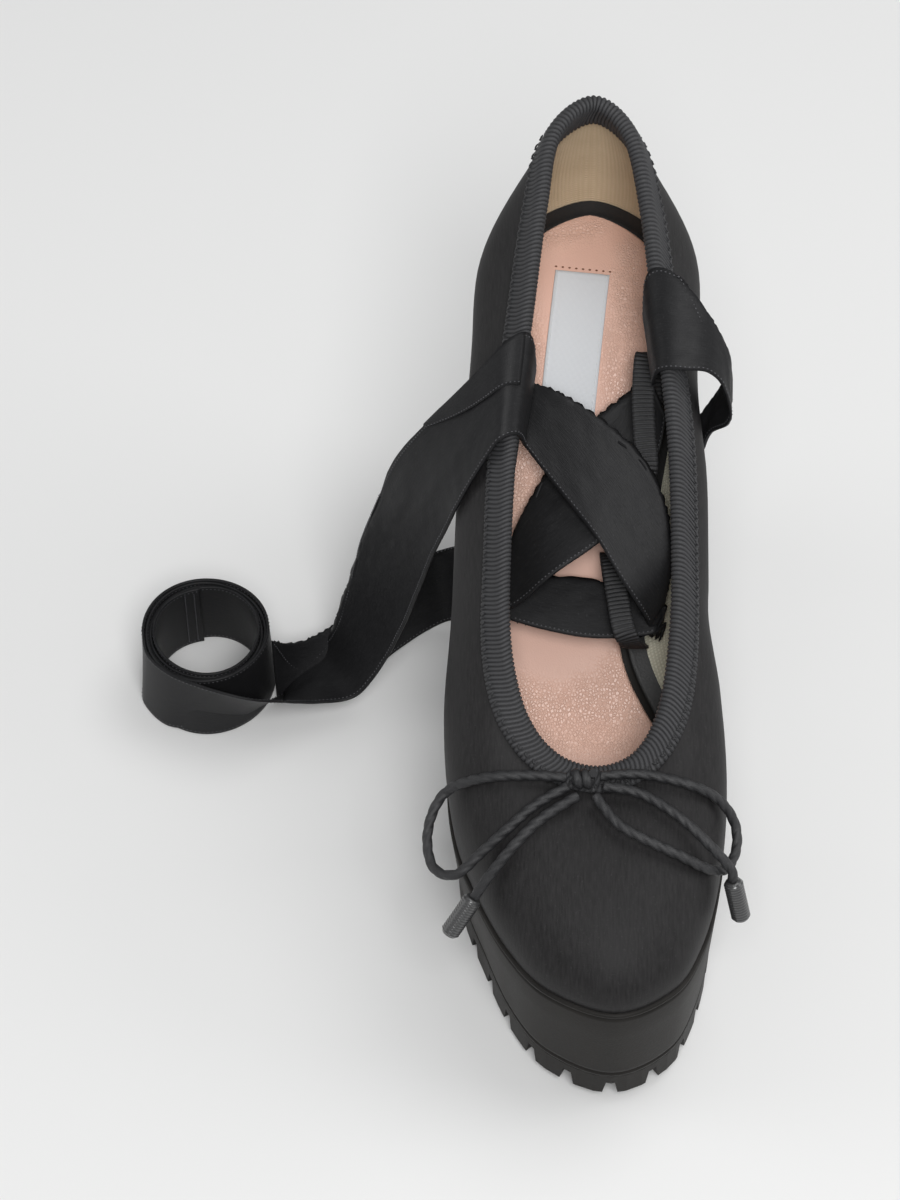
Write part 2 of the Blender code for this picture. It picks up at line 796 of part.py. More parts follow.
# Ribbon lacing: two runs that cross and a bar, one ribbon joined at the loops. A row gives
# the run's heelward edge and its toeward edge, in the shares of bed_point.
LACING = {
    "bar": (
        (0.478, -0.335, 0.450, 0.504, -0.335, 0.521),
        (0.475, -0.308, 0.444, 0.509, -0.308, 0.547),
        (0.459, -0.158, 0.359, 0.526, -0.159, 0.626),
        (0.461, -0.003, 0.373, 0.537, -0.003, 0.667),
        (0.472, 0.121, 0.443, 0.538, 0.133, 0.674),
        (0.485, 0.226, 0.508, 0.535, 0.226, 0.674),
        (0.489, 0.257, 0.520, 0.531, 0.257, 0.667),
    ),
    "under": (
        (0.474, -0.326, 0.329, 0.498, -0.326, 0.393),
        (0.459, -0.314, 0.375, 0.507, -0.309, 0.609),
        (0.428, -0.277, 0.357, 0.509, -0.240, 0.765),
        (0.391, -0.208, 0.404, 0.493, -0.121, 0.953),
        (0.347, -0.103, 0.363, 0.448, 0.077, 0.847),
        (0.308, 0.034, 0.357, 0.378, 0.143, 0.627),
        (0.284, 0.146, 0.364, 0.334, 0.211, 0.494),
        (0.273, 0.220, 0.435, 0.310, 0.261, 0.495),
    ),
    "over": (
        (0.279, -0.227, 0.482, 0.323, -0.271, 0.559),
        (0.290, -0.171, 0.586, 0.345, -0.240, 0.599),
        (0.308, -0.078, 0.685, 0.367, -0.190, 0.663),
        (0.343, 0.077, 0.789, 0.408, -0.090, 0.789),
        (0.380, 0.208, 0.845, 0.456, 0.028, 0.936),
        (0.430, 0.286, 0.934, 0.498, 0.115, 0.996),
        (0.478, 0.305, 0.950, 0.520, 0.177, 0.937),
        (0.500, 0.292, 0.791, 0.526, 0.220, 0.738),
        (0.504, 0.274, 0.552, 0.524, 0.233, 0.555),
        (0.504, 0.264, 0.349, 0.520, 0.235, 0.406),
    ),
}


def build_lacing(material):
    """The X and the bar of the lacing, joined where the ribbon turns in a loop."""
    runs = {}
    for name, rows in LACING.items():
        edges = [(bed_point(*row[:3]), bed_point(*row[3:])) for row in rows]
        runs[name] = strip(edges, RIBBON_THICKNESS)
    piece = finish("ribbon_lacing", runs["bar"], material, math.radians(40))
    for name in ("under", "over"):
        guide = bpy.data.objects.new("lacing_" + name, runs[name])
        bpy.context.scene.collection.objects.link(guide)
        guide.hide_render = True
        guide.display_type = "WIRE"
        modifier = piece.modifiers.new(guide.name, "BOOLEAN")
        modifier.operation = "UNION"
        modifier.solver = "EXACT"
        modifier.object = guide
    return piece


# The tails, a row each of the upper and lower edge's points where they lie
LEFT_TAIL = (
    (-0.0145, 0.0470, 0.1395, -0.0178, 0.0290, 0.1270),
    (-0.0152, 0.0500, 0.1480, -0.0188, 0.0275, 0.1325),
    (-0.0176, 0.0505, 0.1522, -0.0210, 0.0260, 0.1360),
    (-0.0220, 0.0480, 0.1523, -0.0253, 0.0240, 0.1355),
    (-0.0272, 0.0445, 0.1478, -0.0291, 0.0220, 0.1292),
    (-0.0355, 0.0420, 0.1370, -0.0340, 0.0200, 0.1185),
    (-0.0460, 0.0420, 0.1205, -0.0380, 0.0190, 0.1070),
    (-0.0550, 0.0428, 0.1030, -0.0415, 0.0195, 0.0945),
    (-0.0605, 0.0432, 0.0830, -0.0450, 0.0208, 0.0800),
    (-0.0660, 0.0439, 0.0600, -0.0492, 0.0228, 0.0600),
    (-0.0700, 0.0430, 0.0400, -0.0535, 0.0245, 0.0405),
    (-0.0745, 0.0423, 0.0230, -0.0585, 0.0269, 0.0200),
    (-0.0805, 0.0405, 0.0145, -0.0670, 0.0270, 0.0055),
    (-0.0875, 0.0370, 0.0150, -0.0765, 0.0252, 0.0014),
    (-0.0920, 0.0340, 0.0205, -0.0855, 0.0242, 0.0012),
    (-0.0930, 0.0325, 0.0265, -0.0923, 0.0248, 0.0012),
)
RIGHT_TAIL = (
    (0.0163, 0.0600, 0.1495, 0.0190, 0.0430, 0.1370),
    (0.0168, 0.0655, 0.1578, 0.0200, 0.0420, 0.1438),
    (0.0203, 0.0660, 0.1622, 0.0232, 0.0410, 0.1467),
    (0.0260, 0.0630, 0.1618, 0.0285, 0.0405, 0.1470),
    (0.0325, 0.0570, 0.1575, 0.0345, 0.0405, 0.1460),
    (0.0380, 0.0510, 0.1505, 0.0390, 0.0390, 0.1410),
    (0.0413, 0.0480, 0.1410, 0.0413, 0.0360, 0.1290),
    (0.0406, 0.0470, 0.1300, 0.0410, 0.0290, 0.1150),
    (0.0382, 0.0465, 0.1180, 0.0400, 0.0240, 0.1010),
    (0.0360, 0.0460, 0.1020, 0.0370, 0.0215, 0.0860),
    (0.0305, 0.0455, 0.0860, 0.0300, 0.0195, 0.0720),
    (0.0200, 0.0450, 0.0740, 0.0170, 0.0185, 0.0610),
    (0.0050, 0.0450, 0.0660, 0.0010, 0.0195, 0.0500),
    (-0.0120, 0.0465, 0.0580, -0.0140, 0.0245, 0.0380),
    (-0.0280, 0.0515, 0.0490, -0.0290, 0.0360, 0.0230),
    (-0.0415, 0.0580, 0.0390, -0.0406, 0.0495, 0.0100),
    (-0.0530, 0.0575, 0.0315, -0.0505, 0.0475, 0.0050),
    (-0.0680, 0.0530, 0.0285, -0.0650, 0.0475, 0.0018),
    (-0.0820, 0.0515, 0.0282, -0.0800, 0.0490, 0.0010),
    (-0.0960, 0.0524, 0.0282, -0.0955, 0.0516, 0.0010),
    (-0.1105, 0.0534, 0.0282, -0.1105, 0.0534, 0.0010),
)


def build_tail(name, rows, material):
    """A free end of the ribbon, from the topline to the roll."""
    edges = [(Vector(row[:3]), Vector(row[3:])) for row in rows]
    return finish(name, strip(edges, RIBBON_THICKNESS), material, math.radians(40))


ROLL_STEPS = 32


def build_roll(material):
    """The ribbon's rolled end, standing on its edge on the floor."""
    body = bmesh.new()
    inner, outer = ROLL_RADIUS - ROLL_WALL, ROLL_RADIUS
    profile = [
        body.verts.new(corner)
        for corner in (
            (inner, 0, 0), (outer, 0, 0), (outer, 0, RIBBON_WIDTH), (inner, 0, RIBBON_WIDTH),
        )
    ]
    edges = [body.edges.new((profile[k], profile[(k + 1) % 4])) for k in range(4)]
    bmesh.ops.spin(
        body, geom=profile + edges, axis=(0, 0, 1), cent=(0, 0, 0),
        angle=math.tau, steps=ROLL_STEPS, use_merge=True,
    )
    bmesh.ops.remove_doubles(body, verts=body.verts, dist=1e-5)
    bmesh.ops.recalc_face_normals(body, faces=body.faces)
    mesh = bpy.data.meshes.new("roll")
    body.to_mesh(mesh)
    body.free()
    piece = finish("ribbon_roll", mesh, material, math.radians(40))
    piece.location = (*ROLL_PLACE, 0.0)
    return piece


# The bow, its routes in points where the cord lies
BOW_ROUTES = {
    "bow_loop_left": (
        (-0.0060, -0.0556, 0.0830),
        (-0.0157, -0.0550, 0.0832),
        (-0.0282, -0.0546, 0.0816),
        (-0.0386, -0.0532, 0.0736),
        (-0.0436, -0.0578, 0.0694),
        (-0.0455, -0.0660, 0.0660),
        (-0.0435, -0.0744, 0.0645),
        (-0.0373, -0.0781, 0.0674),
        (-0.0301, -0.0739, 0.0723),
        (-0.0229, -0.0694, 0.0775),
        (-0.0147, -0.0633, 0.0810),
        (-0.0057, -0.0582, 0.0824),
    ),
    "bow_loop_right": (
        (0.0035, -0.0548, 0.0826),
        (0.0155, -0.0545, 0.0830),
        (0.0293, -0.0575, 0.0819),
        (0.0376, -0.0588, 0.0759),
        (0.0422, -0.0624, 0.0692),
        (0.0425, -0.0690, 0.0658),
        (0.0392, -0.0756, 0.0660),
        (0.0333, -0.0788, 0.0719),
        (0.0255, -0.0773, 0.0766),
        (0.0151, -0.0734, 0.0794),
        (0.0080, -0.0689, 0.0804),
        (0.0020, -0.0608, 0.0818),
    ),
    "bow_end_left": (
        (-0.0030, -0.0607, 0.0815),
        (-0.0134, -0.0679, 0.0806),
        (-0.0212, -0.0746, 0.0769),
        (-0.0280, -0.0803, 0.0700),
        (-0.0324, -0.0838, 0.0636),
        (-0.0342, -0.0862, 0.0576),
    ),
    "bow_end_right": (
        (0.0044, -0.0581, 0.0824),
        (0.0148, -0.0602, 0.0818),
        (0.0251, -0.0666, 0.0804),
        (0.0332, -0.0732, 0.0772),
        (0.0400, -0.0784, 0.0714),
        (0.0422, -0.0806, 0.0664),
        (0.0424, -0.0820, 0.0622),
    ),
}
KNOT_PLACE = (-0.0012, -0.0564, 0.0832)
CORD_STEPS = 2


def cord_tube(name, route, material):
    """A round cord on a smooth curve through its route's points."""
    points = [Vector(point) for point in route]
    rows = smooth_rows([(point,) for point in points], CORD_STEPS)
    curve = bpy.data.curves.new(name, "CURVE")
    curve.dimensions = "3D"
    curve.bevel_depth = CORD_DIAMETER / 2
    curve.bevel_resolution = 2
    curve.render_resolution_u = 0
    curve.use_fill_caps = True
    spline = curve.splines.new("POLY")
    spline.points.add(len(rows) - 1)
    for point, (place,) in zip(spline.points, rows):
        point.co = (*place, 1.0)
    curve.materials.append(material)
    piece = bpy.data.objects.new(name, curve)
    bpy.context.scene.collection.objects.link(piece)
    return piece


def build_knot(material):
    """The bow's knot, a flattened bead lying on the binding."""
    body = bmesh.new()
    bmesh.ops.create_uvsphere(body, u_segments=10, v_segments=6, radius=0.5)
    bmesh.ops.scale(body, vec=(KNOT_LENGTH, KNOT_WIDTH, KNOT_WIDTH), verts=body.verts)
    bmesh.ops.triangulate(body, faces=body.faces)
    mesh = bpy.data.meshes.new("knot")
    body.to_mesh(mesh)
    body.free()
    piece = finish("bow_knot", mesh, material, math.radians(60))
    piece.location = KNOT_PLACE
    return piece


def build_aglet(name, route, material):
    """A lacquered tip, a clearance past its cord's end and in line with it."""
    end = Vector(route[-1])
    way = (end - Vector(route[-2])).normalized()
    body = bmesh.new()
    bmesh.ops.create_cone(
        body, cap_ends=True, segments=12, radius1=AGLET_DIAMETER / 2,
        radius2=AGLET_DIAMETER / 2 - CLEARANCE, depth=AGLET_LENGTH,
    )
    mesh = bpy.data.meshes.new("aglet")
    body.to_mesh(mesh)
    body.free()
    piece = finish(name, mesh, material, math.radians(40))
    piece.rotation_mode = "QUATERNION"
    piece.rotation_quaternion = Vector((0, 0, 1)).rotation_difference(way)
    piece.location = end + way * (CLEARANCE + AGLET_LENGTH / 2)
    return piece


def build():
    for old in list(bpy.data.objects):
        bpy.data.objects.remove(old)
    satin = surface_material("black_satin", (0.030, 0.029, 0.030), 0.45)
    rubber = surface_material("platform_rubber", (0.045, 0.042, 0.040), 0.55)
    insole_leather = surface_material("insole_leather", (0.72, 0.44, 0.35), 0.45)
    grosgrain = surface_material("black_grosgrain", (0.022, 0.022, 0.024), 0.70)
    ribbon = surface_material("ribbon_satin", (0.028, 0.028, 0.029), 0.32)
    cord = surface_material("bow_cord", (0.024, 0.024, 0.026), 0.45)
    lacquer = surface_material("aglet_lacquer", (0.060, 0.060, 0.062), 0.25)
    white_tape = surface_material("label_white", (0.86, 0.87, 0.88), 0.60)
    build_upper(satin)
    build_sole(rubber)
    build_insole(insole_leather)
    build_tread(rubber)
    build_heel(rubber)
    build_heel_tread(rubber)
    build_binding(grosgrain)
    for name in LOOP_ROUTES:
        build_loop(name, grosgrain)
    build_label(white_tape)
    build_lacing(ribbon)
    build_tail("ribbon_tail_left", LEFT_TAIL, ribbon)
    build_tail("ribbon_tail_right", RIGHT_TAIL, ribbon)
    build_roll(ribbon)
    build_knot(cord)
    for name, route in BOW_ROUTES.items():
        cord_tube(name, route, cord)
    build_aglet("aglet_left", BOW_ROUTES["bow_end_left"], lacquer)
    build_aglet("aglet_right", BOW_ROUTES["bow_end_right"], lacquer)


build()
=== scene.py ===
"""Platform pump with ribbon lacing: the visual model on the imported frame."""
import functools
import math

import bmesh
import bpy
import numpy as np
from mathutils import Matrix, Vector, noise


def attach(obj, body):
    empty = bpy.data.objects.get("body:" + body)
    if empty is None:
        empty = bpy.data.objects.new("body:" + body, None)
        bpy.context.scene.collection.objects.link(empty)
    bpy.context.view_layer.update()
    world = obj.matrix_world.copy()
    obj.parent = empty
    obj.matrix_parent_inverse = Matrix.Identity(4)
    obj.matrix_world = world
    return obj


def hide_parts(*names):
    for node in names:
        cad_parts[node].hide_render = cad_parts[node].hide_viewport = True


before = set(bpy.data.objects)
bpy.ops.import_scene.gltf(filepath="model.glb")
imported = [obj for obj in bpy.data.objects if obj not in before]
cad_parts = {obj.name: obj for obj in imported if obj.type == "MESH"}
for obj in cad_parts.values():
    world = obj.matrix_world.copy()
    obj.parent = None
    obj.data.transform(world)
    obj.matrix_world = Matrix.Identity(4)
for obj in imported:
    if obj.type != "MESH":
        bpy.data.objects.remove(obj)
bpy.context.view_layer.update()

# Camera, floor and light: the photograph's high view from the toe, on a pale studio floor
# under soft light. The lens is long, and the picture is nearly a parallel view.
CAMERA_ELEVATION = math.radians(55)
CAMERA_AIM = (-0.039, -0.0015, 0.090)
CAMERA_DISTANCE = 1.10
SENSOR = 36.0
LENS = 113.85
SHIFT_UP = 0.0058
FLOOR_COLOUR = (0.80, 0.80, 0.795)
SKY_COLOUR = (0.93, 0.94, 0.95)
SKY_STRENGTH = 0.31

camera_data = bpy.data.cameras.new("camera")
camera_data.sensor_fit = "VERTICAL"
camera_data.sensor_height = SENSOR
camera_data.lens = LENS
camera_data.shift_y = SHIFT_UP
camera = bpy.data.objects.new("camera", camera_data)
camera.location = (
    CAMERA_AIM[0],
    CAMERA_AIM[1] - CAMERA_DISTANCE * math.cos(CAMERA_ELEVATION),
    CAMERA_AIM[2] + CAMERA_DISTANCE * math.sin(CAMERA_ELEVATION),
)
camera.rotation_euler = (math.pi / 2 - CAMERA_ELEVATION, 0.0, 0.0)
bpy.context.scene.collection.objects.link(camera)
bpy.context.scene.camera = camera
bpy.context.scene.view_settings.view_transform = "Standard"


class Term:
    """A value in a material. Arithmetic on it adds the math node that it needs."""

    def __init__(self, paint, socket):
        self.paint = paint
        self.socket = socket

    def combined(self, operation, first, second):
        node = self.paint.node("ShaderNodeMath", {"operation": operation}, {0: first, 1: second})
        return Term(self.paint, node.outputs[0])

    def __add__(self, other):
        return self.combined("ADD", self, other)

    def __radd__(self, other):
        return self.combined("ADD", other, self)

    def __rsub__(self, other):
        return self.combined("SUBTRACT", other, self)

    def __mul__(self, other):
        return self.combined("MULTIPLY", self, other)


class Paint:
    """One material, built up from the plain shader's own sockets."""

    def __init__(self, name, colour, roughness, **plain):
        self.material = bpy.data.materials.new(name)
        self.material.use_nodes = True
        self.tree = self.material.node_tree
        self.shader = self.tree.nodes["Principled BSDF"]
        self.feed("Base Color", (*colour, 1.0))
        self.feed("Roughness", roughness)
        for socket, value in plain.items():
            self.feed(socket.replace("_", " "), value)

    def feed(self, name, value, node=None):
        socket = (node or self.shader).inputs[name]
        if isinstance(value, Term):
            self.tree.links.new(value.socket, socket)
        else:
            socket.default_value = value

    def node(self, kind, settings, sockets):
        node = self.tree.nodes.new(kind)
        for name, value in settings.items():
            setattr(node, name, value)
        for name, value in sockets.items():
            self.feed(name, value, node)
        return node

    def place(self, scale, source="Object"):
        """Where the paint is on the piece, in metres times a scale, one for each way or for all."""
        if not isinstance(scale, tuple):
            scale = (scale,) * 3
        origin = self.node("ShaderNodeTexCoord", {}, {})
        sockets = {"Vector": Term(self, origin.outputs[source]), "Scale": scale}
        return Term(self, self.node("ShaderNodeMapping", {}, sockets).outputs[0])

    def cloud(self, scale, source="Object", detail=2.0):
        sockets = {"Vector": self.place(scale, source), "Scale": 1.0, "Detail": detail}
        return Term(self, self.node("ShaderNodeTexNoise", {}, sockets).outputs["Fac"])

    def bands(self, scale, direction):
        """Thread after thread across a woven piece, along its own map."""
        settings = {"bands_direction": direction}
        sockets = {"Vector": self.place(scale, "UV"), "Scale": 1.0}
        return Term(self, self.node("ShaderNodeTexWave", settings, sockets).outputs["Fac"])

    def ramp(self, value, low, high):
        """0 to 1 as a value goes from low to high, held inside."""
        sockets = {"Value": value, "From Min": low, "From Max": high}
        node = self.node("ShaderNodeMapRange", {"clamp": True}, sockets)
        return Term(self, node.outputs[0])

    def mixed(self, share, first, second):
        node = self.node("ShaderNodeMix", {"data_type": "RGBA"}, {0: share, 6: first, 7: second})
        return Term(self, node.outputs[2])

    def bump(self, height, distance):
        node = self.node("ShaderNodeBump", {}, {"Height": height, "Distance": distance})
        self.feed("Normal", Term(self, node.outputs["Normal"]))


floor_body = bmesh.new()
bmesh.ops.create_grid(floor_body, x_segments=1, y_segments=1, size=4.0)
floor_mesh = bpy.data.meshes.new("floor")
floor_body.to_mesh(floor_mesh)
floor_body.free()
floor_paint = Paint("studio_floor", FLOOR_COLOUR, 0.85, Specular_IOR_Level=0.1)
floor_mesh.materials.append(floor_paint.material)
floor = bpy.data.objects.new("floor", floor_mesh)
bpy.context.scene.collection.objects.link(floor)

world = bpy.data.worlds.new("studio")
world.use_nodes = True
world.node_tree.nodes["Background"].inputs["Color"].default_value = (*SKY_COLOUR, 1.0)
world.node_tree.nodes["Background"].inputs["Strength"].default_value = SKY_STRENGTH
bpy.context.scene.world = world

# Large soft panels that look at the shoe, a row each: name, place, width and power
LIGHT_AIM = Vector((0.0, 0.0, 0.08))
PANELS = (
    ("front_key_panel", (0.10, -0.95, 1.55), 0.80, 18.2),
    ("overhead_panel", (0.50, 0.40, 1.50), 1.00, 6.0),
    ("left_panel", (-1.30, 0.10, 0.60), 0.90, 3.0),
    ("right_panel", (1.30, 0.00, 0.60), 0.90, 5.0),
)
for name, place, width, power in PANELS:
    light = bpy.data.lights.new(name, "AREA")
    light.shape = "DISK"
    light.size = width
    light.energy = power
    panel = bpy.data.objects.new(name, light)
    panel.location = place
    panel.rotation_mode = "QUATERNION"
    panel.rotation_quaternion = (LIGHT_AIM - Vector(place)).to_track_quat("-Z", "Y")
    bpy.context.scene.collection.objects.link(panel)

# Cloth and moulding share these: smooth curves, quads over rows of points with the cloth's
# own lengths as its map, and the step that puts a finished piece on the shoe.
CURVE_STEPS = 12
UP = Vector((0, 0, 1))


def curve_at(t, a, b, c, d):
    """A smooth curve through a, b, c and d, read at a share t of the way from b to c."""
    return 0.5 * (2 * b + (c - a) * t + (2 * a - 5 * b + 4 * c - d) * t * t
                  + (3 * b - a - 3 * c + d) * t ** 3)


def smooth_rows(rows, steps):
    """Rows of points read on a smooth curve through them."""
    read = []
    last = len(rows) - 1
    for i in range(last):
        near = [rows[min(max(i + k, 0), last)] for k in (-1, 0, 1, 2)]
        for step in range(steps):
            read.append([curve_at(step / steps, *four) for four in zip(*near)])
    read.append(list(rows[-1]))
    return read


def lengths(points):
    """Running length along points, from 0."""
    run = [0.0]
    for a, b in zip(points, points[1:]):
        run.append(run[-1] + (Vector(b) - Vector(a)).length)
    return run


def even_rows(rows, step):
    """Rows on the same curve, a step apart along their middle."""
    fine = np.array([[tuple(point) for point in row] for row in smooth_rows(rows, CURVE_STEPS)])
    middle = fine.mean(axis=1)
    run = np.concatenate([[0.0], np.cumsum(np.linalg.norm(np.diff(middle, axis=0), axis=1))])
    count = max(2, round(run[-1] / step))
    wanted = np.linspace(0.0, run[-1], count + 1)
    read = np.empty((count + 1, fine.shape[1], 3))
    for j in range(fine.shape[1]):
        for k in range(3):
            read[:, j, k] = np.interp(wanted, run, fine[:, j, k])
    return [[Vector(point) for point in row] for row in read]


def quads(rows, across_closed=False, along_closed=False):
    """Quads over rows of points, with running lengths in metres as the map."""
    body = bmesh.new()
    loops = [[body.verts.new(point) for point in row] for row in rows]
    cloth_map = body.loops.layers.uv.new("cloth")
    if along_closed:
        loops = loops + loops[:1]
    middle = len(rows[0]) // 2
    v = lengths([row[middle].co for row in loops])
    u = lengths([vert.co for vert in (loops[0] + loops[0][:1] if across_closed else loops[0])])
    for i, (low, high) in enumerate(zip(loops, loops[1:])):
        for j in range(len(u) - 1):
            n = (j + 1) % len(low)
            face = body.faces.new((low[j], low[n], high[n], high[j]))
            face.smooth = True
            corners = ((u[j], v[i]), (u[j + 1], v[i]), (u[j + 1], v[i + 1]), (u[j], v[i + 1]))
            for corner, place in zip(face.loops, corners):
                corner[cloth_map].uv = place
    return body


def shown(name, body, paint, nodes=(), thickness=None):
    """Puts a finished mesh on the shoe, in place of the CAD nodes named."""
    bmesh.ops.recalc_face_normals(body, faces=body.faces)
    mesh = bpy.data.meshes.new(name)
    body.to_mesh(mesh)
    body.free()
    mesh.materials.append(paint.material)
    piece = bpy.data.objects.new(name, mesh)
    bpy.context.scene.collection.objects.link(piece)
    if thickness is not None:
        wall = piece.modifiers.new("thickness", "SOLIDIFY")
        wall.thickness = thickness
        wall.offset = 0.0
        wall.use_even_offset = False
    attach(piece, "root")
    if nodes:
        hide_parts(*nodes)
    return piece


def stitching(name, places, size, paint, smooth=False):
    """One piece of small rounded stitches, one at each (point, way, up)."""
    body = bmesh.new()
    for point, way, up in places:
        side = way.cross(up).normalized()
        up = side.cross(way).normalized()
        turn = Matrix((way.normalized(), side, up)).transposed().to_4x4()
        matrix = Matrix.Translation(point) @ turn @ Matrix.Diagonal((*size, 1.0))
        bmesh.ops.create_icosphere(body, subdivisions=1, radius=0.5, matrix=matrix)
    for face in body.faces:
        face.smooth = smooth
    return shown(name, body, paint)


# The bow: one drawcord of three twisted strands, 3 mm thick, tied in a bow over the middle of
# the throat. Its loops come back into the knot and its ends carry wrapped, lacquered tips.
CORD_RADIUS = 0.00150
STRAND_DEPTH = 0.00030
TWIST_PITCH = 0.0125
CORD_SIDES = 24
CORD_STEP = 0.0005

# Routes, as points that the middle of the cord passes
BOW_ROUTES = {
    "bow_loop_left": (
        (-0.0060, -0.0556, 0.0830), (-0.0157, -0.0550, 0.0832), (-0.0282, -0.0546, 0.0816),
        (-0.0386, -0.0532, 0.0736), (-0.0436, -0.0578, 0.0694), (-0.0455, -0.0660, 0.0660),
        (-0.0435, -0.0744, 0.0645), (-0.0373, -0.0781, 0.0674), (-0.0301, -0.0739, 0.0723),
        (-0.0229, -0.0694, 0.0775), (-0.0147, -0.0633, 0.0810), (-0.0057, -0.0582, 0.0824),
    ),
    "bow_loop_right": (
        (0.0035, -0.0548, 0.0826), (0.0155, -0.0545, 0.0830), (0.0293, -0.0575, 0.0819),
        (0.0376, -0.0588, 0.0759), (0.0422, -0.0624, 0.0692), (0.0425, -0.0690, 0.0658),
        (0.0392, -0.0756, 0.0660), (0.0333, -0.0788, 0.0719), (0.0255, -0.0773, 0.0766),
        (0.0151, -0.0734, 0.0794), (0.0080, -0.0689, 0.0804), (0.0020, -0.0608, 0.0818),
    ),
    "bow_end_left": (
        (-0.0030, -0.0607, 0.0815), (-0.0134, -0.0679, 0.0806), (-0.0212, -0.0746, 0.0769),
        (-0.0280, -0.0803, 0.0700), (-0.0322, -0.0836, 0.0638),
    ),
    "bow_end_right": (
        (0.0044, -0.0581, 0.0824), (0.0148, -0.0602, 0.0818), (0.0251, -0.0666, 0.0804),
        (0.0332, -0.0732, 0.0772), (0.0400, -0.0784, 0.0714), (0.0410, -0.0800, 0.0672),
    ),
}
KNOT_PLACE = Vector((-0.0012, -0.0564, 0.0832))
KNOT_CORD_RADIUS = 0.0014
KNOT_LENGTH = 0.0052
KNOT_REACH = 0.0017
KNOT_RISE = 0.0004
KNOT_TURNS = 2.15
KNOT_STEPS = 80

AGLET_RADIUS = 0.0028
AGLET_LENGTH = 0.0135
AGLET_GAP = 0.0003
AGLET_ROUNDING = 0.004
AGLET_END_SHARE = 0.80
AGLET_STEPS = 60
AGLET_SIDES = 32
WRAP_PITCH = 0.0009
WRAP_HEIGHT = 0.0001

cord_paint = Paint("twisted_cord", (0.012, 0.012, 0.013), 0.5)
threads = cord_paint.cloud((5200.0, 900.0, 1.0), "UV")
cord_paint.feed("Base Color", cord_paint.mixed(
    threads, (0.008, 0.008, 0.009, 1), (0.030, 0.030, 0.032, 1)))
cord_paint.feed("Roughness", 0.40 + threads * 0.25)
cord_paint.bump(threads, 0.00015)


def frames(points):
    """A side and an up for each point of a line, carried along it without turning."""
    ways = []
    for k in range(len(points)):
        ways.append((points[min(k + 1, len(points) - 1)] - points[max(k - 1, 0)]).normalized())
    side = ways[0].orthogonal().normalized()
    found = []
    for way in ways:
        side = (side - way * side.dot(way)).normalized()
        found.append((way, side, way.cross(side)))
    return found


def cord_rows(points, radius):
    """Rings of a three-strand cord round a line."""
    run = lengths(points)
    rows = []
    for point, (way, side, up), along in zip(points, frames(points), run):
        row = []
        for k in range(CORD_SIDES):
            angle = math.tau * k / CORD_SIDES
            strand = abs(math.cos(1.5 * (angle - math.tau * along / TWIST_PITCH)))
            reach = radius - STRAND_DEPTH * (1.0 - strand) ** 1.4
            row.append(point + (side * math.cos(angle) + up * math.sin(angle)) * reach)
        rows.append(row)
    return rows


def cord_body(points, radius=CORD_RADIUS):
    body = quads(cord_rows(points, radius), across_closed=True)
    body.verts.ensure_lookup_table()
    count = len(body.verts)
    body.faces.new([body.verts[k] for k in range(CORD_SIDES)])
    body.faces.new([body.verts[count - 1 - k] for k in range(CORD_SIDES)])
    return body


def cord_line(route):
    return [row[0] for row in even_rows([(Vector(point),) for point in route], CORD_STEP)]


def wrapped_tip(name, route):
    """A lacquered wrap round the cord's end, turned on a lathe and laid in line with it."""
    end = Vector(route[-1])
    way = (end - Vector(route[-2])).normalized()
    body = bmesh.new()
    outline = [(0.0, 0.0)]
    for k in range(AGLET_STEPS + 1):
        along = AGLET_LENGTH * k / AGLET_STEPS
        rounding = min(1.0, AGLET_END_SHARE + min(along, AGLET_LENGTH - along) / AGLET_ROUNDING)
        wrap = WRAP_HEIGHT * math.cos(math.tau * along / WRAP_PITCH)
        outline.append((AGLET_RADIUS * rounding - WRAP_HEIGHT + wrap, along))
    outline.append((0.0, AGLET_LENGTH))
    verts = [body.verts.new((radius, 0.0, along)) for radius, along in outline]
    edges = [body.edges.new(pair) for pair in zip(verts, verts[1:])]
    bmesh.ops.spin(
        body, geom=verts + edges, axis=(0, 0, 1), cent=(0, 0, 0),
        angle=math.tau, steps=AGLET_SIDES, use_merge=True,
    )
    bmesh.ops.remove_doubles(body, verts=body.verts, dist=1e-6)
    for face in body.faces:
        face.smooth = True
    turn = UP.rotation_difference(way).to_matrix().to_4x4()
    bmesh.ops.transform(
        body, matrix=Matrix.Translation(end + way * AGLET_GAP) @ turn, verts=body.verts,
    )
    return shown(name, body, aglet_paint, [name.replace("tip", "aglet")])


aglet_paint = Paint("lacquered_wrap", (0.045, 0.045, 0.046), 0.30, Coat_Weight=0.6)
wear = aglet_paint.cloud(900.0)
aglet_paint.feed("Roughness", 0.22 + wear * 0.25)
aglet_paint.bump(wear, 0.0001)

knot_points = []
for k in range(KNOT_STEPS + 1):
    share = k / KNOT_STEPS
    turn = math.tau * KNOT_TURNS * share
    knot_points.append(KNOT_PLACE + Vector((
        KNOT_LENGTH * (share - 0.5),
        KNOT_REACH * math.cos(turn),
        KNOT_REACH * math.sin(turn) + KNOT_RISE,
    )))
knot = shown("bow_knot_wrap", cord_body(knot_points, KNOT_CORD_RADIUS), cord_paint,
             ["bow_knot"])
for side in ("left", "right"):
    tip = wrapped_tip("tip_" + side, BOW_ROUTES["bow_end_" + side])
    for part, far_end, other in (("loop", "knot", knot), ("end", "fitting", tip)):
        node = f"bow_{part}_{side}"
        line = cord_line(BOW_ROUTES[node])
        piece = shown(node + "_cord", cord_body(line), cord_paint, [node])

